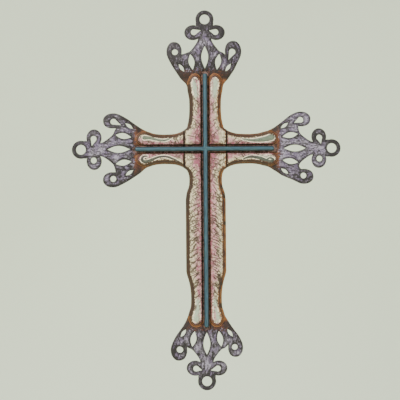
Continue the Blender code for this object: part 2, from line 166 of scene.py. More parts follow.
@dataclass(frozen=True)
class Scroll:
    """What sets one side of a finial apart from the pattern, as shares of the finial's length."""

    out: float = 0.0
    up: float = 0.0
    size: float = 1.0
    tuck: float = 0.0
    volute_slit: float = 0.0
    curl_slit: float = 0.0

    def moved(self, share_across, share_along):
        eye_across, eye_along = VOLUTE_EYE
        return (
            eye_across + (share_across - eye_across) * self.size + self.out,
            eye_along + (share_along - eye_along) * self.size + self.up,
        )

    def edge(self):
        below = [(across - self.tuck * min(n, 1), along)
                 for n, (across, along) in enumerate(FINIAL_EDGE[:FIRST_VOLUTE_POINT])]
        return below + [self.moved(*point) for point in FINIAL_EDGE[FIRST_VOLUTE_POINT:]]


# %% The four arms
TOP_PROFILE = ((0.04, 1.18), (0.13, 1.10), (0.26, 1.03), (0.44, 1.0), (0.67, 1.01), (0.85, 1.10))
BOTTOM_PROFILE = (
    (0.014, 1.21), (0.04, 1.10), (0.075, 1.06), (0.12, 1.09), (0.16, 1.22), (0.205, 1.29), (0.26, 1.30),
    (0.64, 1.30), (0.70, 1.29), (0.75, 1.16), (0.80, 1.05), (0.86, 1.0), (0.93, 1.02), (0.97, 1.13),
)
SIDE_PROFILE = ((0.04, 1.22), (0.12, 1.13), (0.27, 1.03), (0.55, 1.0), (0.75, 1.05), (0.87, 1.14))


@dataclass(frozen=True)
class Arm:
    """One arm: its turn anticlockwise from straight up, and its sizes from the crossing outwards."""

    turn: float
    band: float
    bar_end: float
    finial: float
    corner: tuple
    waist: float
    profile: tuple
    left: Scroll
    right: Scroll

    def place(self, across, along):
        sine, cosine = sine_cosine(self.turn)
        return (across * cosine - along * sine, across * sine + along * cosine)

    def measure(self, x, z):
        sine, cosine = sine_cosine(self.turn)
        return (x * cosine + z * sine, z * cosine - x * sine)

    def on_finial(self, share_across, share_along):
        return (share_across * self.finial, self.band + share_along * self.finial)

    def scrolls(self):
        return ((-1, self.left), (1, self.right))


SEAM = POST_HALF_WIDTH + CLEARANCE
POST_CORNER = (CORNER_HEIGHT, POST_HALF_WIDTH)
SIDE_CORNER = (SEAM, CORNER_HEIGHT - CLEARANCE)
TOP = Arm(
    0, TOP_BAND, TOP_BAND - BAR_TO_BAND, FINIAL_LENGTH, POST_CORNER, TOP_WAIST, TOP_PROFILE,
    left=Scroll(out=0.020, up=-0.008, tuck=-0.032, curl_slit=0.07),
    right=Scroll(out=-0.018, up=-0.010, size=1.08, tuck=-0.020, volute_slit=0.09, curl_slit=0.06),
)
BOTTOM = Arm(
    180, BOTTOM_BAND, BOTTOM_BAND - BAR_TO_BAND, FINIAL_LENGTH, POST_CORNER, BOTTOM_WAIST, BOTTOM_PROFILE,
    left=Scroll(out=-0.010, up=-0.034, size=0.98, curl_slit=0.07),
    right=Scroll(out=-0.026, up=0.004, size=1.08, tuck=0.016, curl_slit=0.05),
)
LEFT = Arm(
    90, LEFT_BAND, LEFT_BAND - BAR_TO_BAND, FINIAL_LENGTH, SIDE_CORNER, SIDE_WAIST, SIDE_PROFILE,
    left=Scroll(out=0.014, tuck=-0.024),
    right=Scroll(out=-0.012, up=-0.008, tuck=0.006, volute_slit=0.09, curl_slit=0.07),
)
RIGHT = Arm(
    -90, RIGHT_BAND, RIGHT_BAND - RIGHT_BAR_TO_BAND, RIGHT_FINIAL_LENGTH, SIDE_CORNER, SIDE_WAIST,
    SIDE_PROFILE,
    left=Scroll(out=0.008, up=0.004, tuck=0.010, volute_slit=0.07, curl_slit=0.06),
    right=Scroll(out=-0.008, up=0.048, tuck=0.0),
)


# %% Curves and simple loops
def eased(share):
    """0 below 0, 1 above 1 and a smooth rise between, for one number or many."""
    share = np.clip(share, 0.0, 1.0)
    return share * share * (3 - 2 * share)


def mixed(low, high, share):
    return low + (high - low) * share


def smooth_line(points, step=CURVE_STEP):
    """A Catmull-Rom curve through the points, with a corner at each step of its length."""
    points = [Vector(p) for p in points]
    ends = [2 * points[0] - points[1], *points, 2 * points[-1] - points[-2]]
    line = [points[0]]
    for before, start, end, after in zip(ends, ends[1:], ends[2:], ends[3:]):
        corners = max(1, round((end - start).length / step))
        for n in range(1, corners + 1):
            t = n / corners
            line.append(
                0.5 * (2 * start + (end - before) * t + (2 * before - 5 * start + 4 * end - after) * t**2
                       + (3 * start - before - 3 * end + after) * t**3)
            )
    return line


def at_turns(centre, radii, turns):
    """Points of an ellipse at some turns round it."""
    return [(centre[0] + radii[0] * math.cos(a), centre[1] + radii[1] * math.sin(a)) for a in turns]


def ellipse(centre, radii):
    sides = max(12, 4 * round(2 * math.pi * max(radii) / CURVE_STEP / 4))
    return at_turns(centre, radii, [2 * math.pi * n / sides for n in range(sides)])


def leaf(across, along, half_wide, half_long, tilt):
    """A pointed leaf outline, tilted outwards from the arm."""
    corners = round(2 * half_long / CURVE_STEP)
    side = [(half_wide * math.sin(math.pi * n / corners), half_long * (2 * n / corners - 1))
            for n in range(corners)]
    sine, cosine = sine_cosine(tilt)
    return [(across + wide * cosine - far * sine, along + wide * sine + far * cosine)
            for wide, far in side + [(-wide, -far) for wide, far in side]]


def eye(centre, radius, tail, aim):
    """A round hole, drawn out to a slit of the length of tail in the direction of aim, in degrees."""
    if not tail:
        return ellipse(centre, (radius, radius))
    tip, spread = math.radians(aim), EYE_WRAP * math.acos(radius / (radius + tail))
    sides = round(2 * math.pi * radius / CURVE_STEP)
    turns = [tip + spread + (2 * math.pi - 2 * spread) * n / sides for n in range(sides + 1)]
    return at_turns(centre, (radius, radius), turns) + at_turns(centre, [radius + tail] * 2, [tip])


def split_evenly(loop, step=CURVE_STEP):
    """The closed loop with corners added along its long straight stretches."""
    split = []
    for start, end in zip(loop, [*loop[1:], loop[0]]):
        start, end = Vector(start), Vector(end)
        parts = max(1, round((end - start).length / step))
        split += [start.lerp(end, n / parts) for n in range(parts)]
    return split


# %% The cut edge of an arm
@lru_cache
def side_edge(arm, scroll):
    """One side of an arm as (across, along): its waist and volute, then its shoulder."""
    corner_along, corner_across = arm.corner
    edge = scroll.edge()
    start = arm.band + edge[0][1] * arm.finial
    waist = [(arm.waist * wide, mixed(corner_along, start, share)) for share, wide in arm.profile]
    side = [(corner_across, corner_along), *waist, *(arm.on_finial(*p) for p in edge)]
    shoulder = [arm.on_finial(*p) for p in (edge[-1], *SHOULDER_EDGE)]
    return smooth_line(side), smooth_line(shoulder)[1:]


def arm_outline(arm):
    left, right = ([
        arm.place(sign * across, along) for line in side_edge(arm, scroll) for across, along in line
    ] for sign, scroll in arm.scrolls())
    return right + left[::-1]


@lru_cache
def waist_table(arm, scroll):
    side = [p for p in side_edge(arm, scroll)[0] if p[1] < arm.band + VOLUTE_TURN * arm.finial]
    return [p[1] for p in side], [p[0] for p in side]


def half_width(arm, along, sign):
    """The half width of one side of an arm at distances along it, up to where its volute turns back."""
    corner_along, corner_across = arm.corner
    widths = np.interp(along, *waist_table(arm, arm.right if sign > 0 else arm.left))
    return np.where(np.asarray(along) <= corner_along, corner_across, widths)


def finial_shapes(arm):
    """The curls and the tip ring, which join the neck."""
    across, along = CURL_CENTRE
    radii = [arm.finial * r for r in CURL_RADII]
    shapes = [ellipse(arm.on_finial(side * across, along), radii) for side in (-1, 1)]
    shapes.append(ellipse(arm.on_finial(0, RING_CENTRE), [arm.finial * RING_RADIUS] * 2))
    return [[arm.place(*p) for p in shape] for shape in shapes]


def finial_piercings(arm):
    """The ring's hole, the leaf piercings and the eyes of the curls and volutes."""
    size = arm.finial
    holes = [ellipse(arm.on_finial(0, RING_CENTRE), [size * RING_HOLE_RADIUS] * 2)]
    across, along, wide, far, tilt = MIDDLE_LEAF
    holes.append(leaf(*arm.on_finial(across, along), wide * size, far * size, tilt))
    for side, scroll in arm.scrolls():
        for across, along, wide, far, tilt in (INNER_LEAF, OUTER_LEAF):
            holes.append(leaf(*arm.on_finial(side * across, along), wide * size, far * size, side * tilt))
        curl = arm.on_finial(side * CURL_EYE[0], CURL_EYE[1])
        across, along = scroll.moved(*VOLUTE_EYE)
        volute = arm.on_finial(side * across, along)
        holes.append(eye(curl, EYE_RADIUS * size, scroll.curl_slit * size, 90 + side * CURL_SLIT_AIM))
        slit = scroll.volute_slit * size
        holes.append(eye(volute, EYE_RADIUS * size * scroll.size, slit, 270 - side * VOLUTE_SLIT_AIM))
    return [[arm.place(*p) for p in hole] for hole in holes]


print("corners round the top arm:", len(arm_outline(TOP)))


# %% [markdown]
# ## Raised panels
#
# Two long panels lie beside the bar on each arm, square at the crossing and round at the finial. On
# the real cross they are pressed up from behind. Here each panel is an outline, and how far a point
# lies inside it later sets both how high the sheet stands and where one paint meets the next.

# %% The panels
def panel_start(arm):
    return PANEL_INNER if arm.corner is POST_CORNER else SEAM + SEAM_EASE


def panel_end(arm):
    return arm.band - PANEL_TO_BAND


def panel_outer(arm, along, side):
    """How far from the arm's middle line a raised panel reaches, at distances along the arm."""
    reach = half_width(arm, along, side) - BORDER_WIDTH
    return np.where(np.asarray(along) < arm.corner[0] - SEAM_EASE, POST_HALF_WIDTH - SEAM_EASE, reach)


def panel_outline(arm, side):
    start, end = panel_start(arm), panel_end(arm)
    radius = float(panel_outer(arm, end, side) - PANEL_INNER) / 2
    straight = end - radius
    stations = np.linspace(start, straight, max(2, round((straight - start) / (2 * CURVE_STEP))))
    outer = panel_outer(arm, stations, side)
    outline = list(zip(outer, stations))
    half = (outer[-1] - PANEL_INNER) / 2
    corners = round(math.pi * radius / (2 * CURVE_STEP))
    for n in range(1, corners):
        turn = math.pi * n / corners
        outline.append((PANEL_INNER + half * (1 + math.cos(turn)), straight + radius * math.sin(turn)))
    outline += [(PANEL_INNER, along) for along in stations[::-1]]
    return np.array([arm.place(side * across, along) for across, along in outline])


# %% Distances from many points at once
# Stands for the square of no length, so that nothing is divided by nought
NO_LENGTH = 1e-14


def distance_to(line, points, closed=True, block=4000):
    """How far each point lies from a line of straight stretches."""
    starts, ends = (line, np.roll(line, -1, axis=0)) if closed else (line[:-1], line[1:])
    along = ends - starts
    reach = np.maximum(np.einsum("ij,ij->i", along, along), NO_LENGTH)
    nearest = []
    for first in range(0, len(points), block):
        offset = points[first:first + block, None, :] - starts[None]
        share = np.clip(np.einsum("pij,ij->pi", offset, along) / reach, 0, 1)
        nearest.append(np.linalg.norm(offset - along * share[:, :, None], axis=2).min(axis=1))
    return np.concatenate(nearest)


def within(line, points):
    """Whether each point lies within a closed line, by how often a ray from it crosses the line."""
    x, z = points.T
    odd = np.zeros(len(points), dtype=bool)
    for (ax, az), (bx, bz) in zip(line, np.roll(line, -1, axis=0)):
        if az != bz:
            odd ^= ((az > z) != (bz > z)) & (x < ax + (z - az) / (bz - az) * (bx - ax))
    return odd


def depth_in(line, points):
    """How far inside a closed line each point lies, and below nought outside it."""
    return distance_to(line, points) * np.where(within(line, points), 1, -1)


# %% [markdown]
# ## Marks of the graver and the brush
#
# Before the paint the maker cut comma-shaped scrolls into the side arms, and feather strokes beside
# the bars. A dark wash then stays in the cuts. The distance to the nearest scroll and to the nearest
# stroke is kept for the relief and for the paint.

# %% Comma scrolls of the side arms
# What a distance in millimetres says where there is nothing near
FAR = 9.0
COMMA_STEP = 0.5 * MM

# Each scroll is a row of (across, along, radius) in millimetres, from its head to the end of its tail
COMMAS = {
    LEFT: (
        ((15.0, 80.0, 2.2), (14.4, 72.0, 1.3), (12.4, 64.5, 1.0), (11.2, 57.0, 0.9), (12.0, 50.5, 0.8),
         (15.0, 44.5, 0.4)),
        ((-9.2, 76.5, 0.4), (-9.8, 81.5, 0.9), (-13.6, 83.4, 1.4), (-16.4, 79.5, 1.7), (-15.2, 73.0, 1.5),
         (-12.2, 66.5, 1.1), (-10.0, 59.0, 0.9), (-10.0, 51.0, 0.9), (-12.8, 43.0, 0.8), (-16.8, 34.0, 0.3)),
    ),
    RIGHT: (
        ((-14.8, 87.0, 3.6), (-12.8, 80.5, 3.0), (-11.2, 71.0, 2.2), (-10.8, 60.0, 1.1), (-12.6, 49.0, 0.4)),
        ((14.4, 80.5, 0.4), (12.6, 84.5, 0.7), (14.6, 88.5, 1.3), (17.4, 87.0, 1.9), (17.2, 81.0, 2.2),
         (14.0, 74.5, 1.9), (11.6, 67.0, 1.5), (10.8, 59.0, 1.2), (13.4, 50.0, 0.4)),
    ),
}


def comma_distance(arms, points):
    """How far each point lies outside the nearest comma scroll, in millimetres, below nought inside."""
    nearest = np.full(len(points), FAR)
    for arm in arms:
        for comma in COMMAS.get(arm, ()):
            for across, along, radius in smooth_line([Vector(p) * MM for p in comma], COMMA_STEP):
                centre = np.array(arm.place(across, along))
                reach = np.linalg.norm(points - centre, axis=1) - radius
                nearest = np.minimum(nearest, reach / MM)
    return nearest


# %% Feather strokes beside the bars
# For each arm: (from, to, pitch) in millimetres along it, so that strokes crowd where the maker cut most
STROKE_RUNS = {
    TOP: ((14, 90, 9.0),),
    BOTTOM: ((12, 84, 5.5), (84, 178, 2.3), (178, 216, 4.5)),
    LEFT: ((32, 84, 7.0),),
    RIGHT: ((32, 88, 7.0),),
}
# How far a stroke keeps off the sides of its panel and the step of its corners, in millimetres, and
# the share of its drop where it bends
STROKE_MARGIN = 0.8
STROKE_STEP = 1.2
STROKE_BELLY = 0.42
# What a stroke is drawn from: its root and tip as shares of the way across, its drop and bend in
# millimetres, and the way to the next stroke as a share of the pitch
STROKE_ROOT = (0.0, 0.55)
STROKE_TIP = (0.5, 1.0)
STROKE_DROP = (2.5, 8.5)
STROKE_BEND = (-1.2, 1.8)
STROKE_APART = (0.5, 1.5)


def feather_strokes(arm, dice):
    """Short curved cuts that lean outwards and away from the crossing, like the barbs of a feather."""
    strokes = []
    for first, last, pitch in STROKE_RUNS[arm]:
        for side in (-1, 1):
            along = first + dice.uniform(0, pitch)
            while along < last:
                outer = float(panel_outer(arm, along * MM, side)) / MM - STROKE_MARGIN
                inner = PANEL_INNER / MM + STROKE_MARGIN
                root = mixed(inner, outer, dice.uniform(*STROKE_ROOT))
                tip = mixed(root, outer, dice.uniform(*STROKE_TIP))
                drop = dice.uniform(*STROKE_DROP)
                bend = dice.uniform(*STROKE_BEND)
                middle = ((root + tip) / 2 + bend, along + STROKE_BELLY * drop)
                path = smooth_line([(root, along), middle, (tip, along + drop)], STROKE_STEP)
                strokes.append(np.array([arm.place(side * a * MM, b * MM) for a, b in path]))
                along += dice.uniform(*STROKE_APART) * pitch
    return strokes


def stroke_distance(strokes, points, reach=2.0):
    """How far each point lies from the nearest stroke, in millimetres, up to a reach."""
    nearest = np.full(len(points), reach)
    for stroke in strokes:
        low, high = stroke.min(axis=0) - reach * MM, stroke.max(axis=0) + reach * MM
        near = np.flatnonzero(((points > low) & (points < high)).all(axis=1))
        if len(near):
            nearest[near] = np.minimum(nearest[near], distance_to(stroke, points[near], False) / MM)
    return nearest


dice = np.random.default_rng(11)
STROKES = {arm: feather_strokes(arm, dice) for arm in (TOP, BOTTOM, LEFT, RIGHT)}
print("feather strokes:", sum(len(strokes) for strokes in STROKES.values()))


# %% [markdown]
# ## What the maker knows at each point
#
# A Survey holds, for many points of a plate, the distances that shape and paint it: across and along
# its arm, inside its panel, out from the bars, in from the cut edge. The press and the painter then
# only read these, so the relief and the paint always agree.

# %% The survey of a plate
def bar_distance(points):
    """How far each point lies from the nearest bar's middle line."""
    upright = np.array([(0, -BOTTOM.bar_end), (0, TOP.bar_end)])
    level = np.array([(-LEFT.bar_end, 0), (RIGHT.bar_end, 0)])
    return np.minimum(distance_to(upright, points, False), distance_to(level, points, False))


class Survey:
    """The distances, in metres unless said, that shape and paint a plate at many points."""

    def __init__(self, arms, points, edge):
        self.arms, self.points, self.edge = arms, points, edge
        x, z = points.T
        places = np.array([arm.measure(x, z) for arm in arms])
        self.pick = places[:, 1].argmax(axis=0)
        each = np.arange(len(points))
        self.across, self.along = places[self.pick, 0, each], places[self.pick, 1, each]
        self.share = (self.along - self.of_arm("band")) / self.of_arm("finial")
        self.bars = bar_distance(points)
        inside = [depth_in(panel_outline(arm, side), points) for arm in arms for side in (-1, 1)]
        self.panel = np.max(inside, axis=0)
        self.half = np.zeros(len(points))
        self.outer = np.zeros(len(points))
        for n, arm in enumerate(arms):
            for side in (-1, 1):
                here = (self.pick == n) & (self.across * side >= 0)
                self.half[here] = half_width(arm, self.along[here], side)
                self.outer[here] = panel_outer(arm, self.along[here], side)
        self.comma = comma_distance(arms, points)
        self.stroke = stroke_distance([s for arm in arms for s in STROKES[arm]], points)

    def of_arm(self, size):
        return np.array([getattr(arm, size) for arm in self.arms])[self.pick]

    def trench(self):
        """1 over the trench that the bars lie in, 0 clear of it."""
        return eased(1 - (self.bars - BAR_RADIUS - BAR_EDGE_GAP) / TRENCH_SLOPE)

    def athwart(self):
        """0 at the bar side of a panel, 1 at its border."""
        return np.clip((np.abs(self.across) - PANEL_INNER) / np.maximum(self.outer - PANEL_INNER, MM), 0, 1)

    def to_end(self):
        """How far a point lies short of the round end of its panels."""
        return self.of_arm("band") - PANEL_TO_BAND - self.along


# %% [markdown]
# ## The pressed form
#
# The depth of the sheet is how far it stands out from the plane y = 0. From the turned-back rim it
# climbs the painted border to the panels, drops into the trench, and beyond the band it becomes the
# dished finial. On top of that come the finer marks: the crown of each strap of the finials, the
# rounded torch cut, the ridges of the band, the cuts of the graver and the dents of the hammer.

# %% Fine relief sizes
STRAP_CROWN = 0.60 * MM
STRAP_REACH = 3.6 * MM
CUT_ROUND = 0.55 * MM
FOLD_ROUND = 1.30 * MM
STROKE_CUT = 0.26 * MM
COMMA_CUT = 0.32 * MM
COMMA_RISE = 0.25 * MM
MARKS_INSET = 1.2 * MM
BAND_RIDGE = 0.38 * MM
BAND_REACH = 11 * MM
DENT = 0.16 * MM
PITTING = 0.05 * MM
DENT_SPREAD = 11 * MM
PIT_SPREAD = 0.16 * DENT_SPREAD
# In millimetres, like the distances that they are compared with
STROKE_HALF = 0.55
COMMA_LINE = 0.5
COMMA_HALF = 0.7
COMMA_SLOPE = 1.2
BAND_LINES = (1.3, 3.1)
BAND_HALF = 0.75
# As shares of the finial's length
BAND_LAST_SHARE = 0.12
FINIAL_START = 0.06
# How deep a finial lies, at shares of its length
FINIAL_DEPTHS = (
    (0.0, BAND_DEPTH), (0.2, FAN_DEPTH), (0.55, mixed(TIP_DEPTH, FAN_DEPTH, 0.25)), (1.0, TIP_DEPTH),
)


# %% The depth of the front
def finial_depth(share, across):
    """The dished finial: it swells over the fan, dips at the neck and lies back at the volutes."""
    depth = np.full_like(share, BAND_DEPTH)
    for (low, low_depth), (high, high_depth) in zip(FINIAL_DEPTHS, FINIAL_DEPTHS[1:]):
        climb = mixed(low_depth, high_depth, eased((share - low) / (high - low)))
        depth = np.where(share > low, climb, depth)
    volute_reach = FINIAL_EDGE[WIDEST_POINT][0] * FINIAL_LENGTH
    return depth - VOLUTE_DROP * np.minimum(1.0, (across / volute_reach) ** 2)


def rounded_off(distance, radius):
    """How far a quarter-round edge falls at a distance in from it."""
    over = np.clip(1 - distance / radius, 0, 1)
    return radius * (1 - np.sqrt(np.maximum(0, 1 - over * over)))


def pressed_depth(survey):
    """The plain pressed form, as in the solid model."""
    rise = eased((survey.along - survey.of_arm("band")) / (2 * PANEL_TO_BAND) + 1)
    depth = mixed(RIM_DEPTH, finial_depth(survey.share, survey.across), rise)
    depth = mixed(depth, PANEL_DEPTH, eased(1 + survey.panel / BORDER_WIDTH))
    depth += PILLOW_RISE * eased(survey.panel / PILLOW_REACH)
    return mixed(depth, TRENCH_DEPTH, survey.trench())


def band_gap(survey):
    """How far outside the round panel ends a point lies, in millimetres, or FAR away from the band."""
    near = (survey.to_end() < BAND_REACH) & (survey.share < BAND_LAST_SHARE)
    return np.where(near, np.maximum(-survey.panel / MM, 0), FAR)


def ridge(distance, middle, half):
    """1 on a line, falling to 0 at half a width from it."""
    return eased(1 - np.abs(distance - middle) / half)


def hammered(survey):
    """Shallow dents and pits, the same on every run."""
    spots = [Vector((x, z, 0.0)) for x, z in survey.points]
    dents = np.array([noise.noise(spot / DENT_SPREAD) for spot in spots])
    pits = np.array([noise.noise(spot / PIT_SPREAD) for spot in spots])
    return DENT * dents + PITTING * pits


def front_depth(survey):
    finial = eased(survey.share / FINIAL_START)
    depth = pressed_depth(survey)
    depth += finial * STRAP_CROWN * eased(survey.edge / STRAP_REACH)
    depth += BAND_RIDGE * sum(ridge(band_gap(survey), line, BAND_HALF) for line in BAND_LINES)
    on_panel = eased(survey.panel / MARKS_INSET)
    depth -= on_panel * STROKE_CUT * ridge(survey.stroke, 0, STROKE_HALF)
    depth -= on_panel * COMMA_CUT * ridge(survey.comma, COMMA_LINE, COMMA_HALF)
    depth += on_panel * COMMA_RISE * eased(-survey.comma / COMMA_SLOPE)
    depth += (1 - survey.trench()) * eased(survey.edge / MM) * hammered(survey)
    fold = rounded_off(survey.edge, FOLD_ROUND)
    cut = rounded_off(survey.edge, CUT_ROUND)
    return depth - mixed(fold, cut, finial)


# %% [markdown]
# ## From loops to a sheet
#
# The front needs a fine mesh and the back doesn't. Both are filled between the same cut edges with a
# Delaunay triangulation, so that the faces of the cut join them corner to corner. The sheet is then
# one closed body with a true thickness, hollow behind and with its edges turned back.

# %% Triangles between the cut edges
# Corners nearer than this are one, and the digits of a millimetre that tell two corners apart
SAME_PLACE = 1e-6
DIGITS = 4


def triangles_within(solid_loops, hole_loops, lines, loose_points):
    """Triangles over all that lies in a solid loop and in no hole, with an edge along every line."""
    points, edges, faces = [], [], []
    for loop in solid_loops + hole_loops:
        faces.append(list(range(len(points), len(points) + len(loop))))
        points += [Vector(p) for p in loop]
    for line in lines:
        first = len(points)
        points += [Vector(p) for p in line]
        edges += [(first + n, first + n + 1) for n in range(len(line) - 1)]
    points += [Vector(p) for p in loose_points]
    corners, _, triangles, _, _, sources = delaunay_2d_cdt(points, edges, faces, 0, SAME_PLACE)
    solid_count = len(solid_loops)
    kept = [tri for tri, source in zip(triangles, sources) if source and max(source) < solid_count]
    return np.array([tuple(corner) for corner in corners]), kept


def open_edges(triangles):
    """The directed edges that only one triangle has, with the sheet on their left."""
    directed = {(tri[n - 1], tri[n]) for tri in triangles for n in range(3)}
    return sorted((start, end) for start, end in directed if (end, start) not in directed)


class CutEdge:
    """The cut edges of a plate, to ask how near they are."""

    def __init__(self, corners, triangles):
        self.corners = corners
        self.edges = open_edges(triangles)
        marks = []
        for start, end in self.edges:
            for share in (0, 1 / 3, 2 / 3):
                marks.append(mixed(corners[start], corners[end], share))
        self.tree = KDTree(len(marks))
        for n, (x, z) in enumerate(marks):
            self.tree.insert((x, z, 0), n)
        self.tree.balance()

    def distance(self, points):
        return np.array([self.tree.find((x, z, 0))[2] for x, z in points])

    def ring(self, inset):
        """Points at one distance in from the cut edge."""
        inward = {}
        for start, end in self.edges:
            dx, dz = self.corners[end] - self.corners[start]
            for n in (start, end):
                inward[n] = inward.get(n, Vector((0, 0))) + Vector((-dz, dx)).normalized()
        moved = np.array([self.corners[n] + inset * np.array(way.normalized()) for n, way in inward.items()])
        return moved[self.distance(moved) > RING_FREEDOM * inset]


def grid_points(low, high, step):
    """Points on a triangular grid."""
    rows = np.arange(low[1], high[1], step * math.sqrt(0.75))
    columns = np.arange(low[0], high[0], step)
    return np.array([(x + step / 2 * (n % 2), z) for n, z in enumerate(rows) for x in columns])


# %% The turned-back edge
def flange_lines(arms, inset):
    """The inner face of the turned-back edge, as open lines."""
    lines = []
    for arm in arms:
        first = 0.0 if len(arms) == 2 else SEAM + inset
        last = arm.band + PANEL_TO_BAND
        for sign in (-1, 1):
            stations = np.arange(first, last, FLANGE_STEP)
            wide = half_width(arm, stations, sign) - inset
            lines.append([arm.place(sign * across, along) for across, along in zip(wide, stations)])
        if len(arms) == 1:
            across = arm.corner[1] - inset
            lines.append([arm.place(share * across, first) for share in FLANGE_SHARES])
    return lines


def back_depth(survey):
    """The back of the sheet, which reaches the plane y = 0 along the turned-back edge."""
    inward = survey.half - np.abs(survey.across)
    if len(survey.arms) == 1:
        inward = np.minimum(inward, survey.along - SEAM)
    flange = 1 - eased((survey.along - survey.of_arm("band")) / (2 * PANEL_TO_BAND) + 1)
    sheet_back = pressed_depth(survey) - SHEET
    return np.where(inward < SHEET + CLEARANCE / 2, sheet_back * (1 - flange), sheet_back)


# %% The sheet
PAINT_MARKS = {
    "edge": lambda survey: survey.edge / MM,
    "panel": lambda survey: survey.panel / MM,
    "bars": lambda survey: (survey.bars - BAR_RADIUS) / MM,
    "share": lambda survey: survey.share,
    "athwart": lambda survey: survey.athwart(),
    "band_gap": band_gap,
    "comma": lambda survey: survey.comma,
    "stroke": lambda survey: survey.stroke,
}


def keep_marks(mesh, surveys, extra):
    """The survey's distances as attributes of the mesh, for the paint to read."""
    for name, read in {**PAINT_MARKS, **extra}.items():
        values = np.concatenate([read(survey) for survey in surveys])
        mesh.attributes.new(name, "FLOAT", "POINT").data.foreach_set("value", values.astype(np.float32))
    spots = np.concatenate([np.stack([s.across, s.along, 0 * s.across], axis=1) for s in surveys])
    flat = spots.astype(np.float32).ravel()
    mesh.attributes.new("spot", "FLOAT_VECTOR", "POINT").data.foreach_set("vector", flat)


def skins(arms):
    """The fine front and the coarse back of a plate, each as its survey and its triangles."""
    body = split_evenly([p for arm in arms for p in arm_outline(arm)])
    solid_loops = [body] + [shape for arm in arms for shape in finial_shapes(arm)]
    hole_loops = [hole for arm in arms for hole in finial_piercings(arm)]
    cut = CutEdge(*triangles_within(solid_loops, hole_loops, [], []))
    low, high = cut.corners.min(axis=0), cut.corners.max(axis=0)
    fine, coarse = grid_points(low, high, GRID_STEP), grid_points(low, high, BACK_STEP)
    fine = fine[cut.distance(fine) > GRID_MARGIN]
    coarse = coarse[cut.distance(coarse) > BACK_MARGIN]
    rings = [cut.ring(inset) for inset in EDGE_RINGS]
    folds = flange_lines(arms, SHEET) + flange_lines(arms, SHEET + CLEARANCE)
    made = []
    for lines, loose_points in (([], np.concatenate([fine, *rings])), (folds, coarse)):
        corners, triangles = triangles_within(solid_loops, hole_loops, lines, loose_points)
        made.append((Survey(arms, corners, cut.distance(corners)), triangles))
    return made


def sheet_mesh(name, arms, extra_marks):
    """The plate of one or two arms as one closed mesh: front, back, and the faces of the cut between."""
    (front, front_triangles), (back, back_triangles) = skins(arms)
    places = [
        np.stack([survey.points[:, 0], -depth, survey.points[:, 1] - HANGER_RISE], axis=1)
        for survey, depth in ((front, front_depth(front)), (back, back_depth(back)))
    ]
    shift = len(front.points)
    same = {tuple(np.round(corner / MM, DIGITS)): n + shift for n, corner in enumerate(back.points)}
    edges = open_edges(front_triangles)
    behind = {n: same[tuple(np.round(front.points[n] / MM, DIGITS))] for edge in edges for n in edge}
    faces = [tuple(tri) for tri in front_triangles]
    faces += [tuple(n + shift for n in reversed(tri)) for tri in back_triangles]
    faces += [(end, start, behind[start], behind[end]) for start, end in edges]
    mesh = bpy.data.meshes.new(name)
    mesh.from_pydata(np.concatenate(places).tolist(), [], faces)
    keep_marks(mesh, (front, back), extra_marks)
    slots = np.zeros(len(mesh.polygons), dtype=np.int32)
    slots[len(front_triangles):len(front_triangles) + len(back_triangles)] = 1
    mesh.polygons.foreach_set("material_index", slots)
    return mesh


def without_loose_points(mesh):
    """Drop the corners that no face uses."""
    work = bmesh.new()
    work.from_mesh(mesh)
    bmesh.ops.delete(work, geom=[v for v in work.verts if not v.link_faces], context="VERTS")
    work.to_mesh(mesh)
    work.free()


# %% [markdown]
# ## Marks of place
#
# Some of the paint belongs to one place on this one cross: worn spots, the seams, the darker border
# on the left, the pale green fields, and how heavily the dry brush went over each finial. Each of
# these is one more mark that the mesh carries to the paint.

# %% Worn spots, seams and borders
# Each spot is (x, z, radius) in millimetres from the crossing of the bars
AGED_SPOTS = (
    (16.8, -166.0, 2.4), (18.0, -171.0, 3.0), (18.6, -177.0, 3.2), (17.4, -183.0, 2.4), (-20.0, 38.0, 4.0),
    (-21.0, 47.0, 3.6), (-21.5, 56.0, 3.2), (-25.0, -62.0, 4.4), (-26.0, -71.0, 4.0), (-26.0, -80.0, 3.6),
    (-25.5, -110.0, 3.2), (25.5, -62.0, 3.6), (25.5, -98.0, 2.6), (-23.0, 76.0, 3.6), (-20.5, -196.0, 3.4),
    (20.0, -206.0, 3.4), (22.5, -50.0, 3.0), (-25.5, -148.0, 3.4),
)
SPOT_CORE = 1.4
UMBER_LEFT = 0.61
UMBER_RIGHT = 0.26
UMBER_SIDE_ARM = 0.46
UMBER_FADE = 10 * MM
HEART_RADIUS = 32 * MM
FLARE_WIDTH = 8 * MM
# The shares of the finial where the flare starts, is full, begins to fade and ends
FLARE_START, FLARE_FULL, FLARE_FADE, FLARE_END = -0.13, -0.07, 0.14, 0.30


def faded(distance, radius, core=1.3):
    """1 near a place, falling to 0 at core times a radius from it."""
    return eased(core - distance / radius)


def seam(survey):
    """How far a point lies from the seams between the post and the side arms, in millimetres."""
    lines = [np.array([(side * SEAM, -CORNER_HEIGHT), (side * SEAM, CORNER_HEIGHT)]) for side in (-1, 1)]
    return np.minimum(*(distance_to(line, survey.points, False) for line in lines)) / MM


def umber_share(survey):
    """How much umber the maker brushed on the border: most on the left of the post."""
    upright = np.array([arm.turn % 180 == 0 for arm in survey.arms])[survey.pick]
    leftward = eased(0.5 - survey.points[:, 0] / UMBER_FADE)
    return np.where(upright, mixed(UMBER_RIGHT, UMBER_LEFT, leftward), UMBER_SIDE_ARM)


def heart(survey):
    """1 at the crossing of the bars, fading out over the square of the post."""
    return faded(np.linalg.norm(survey.points, axis=1), HEART_RADIUS)


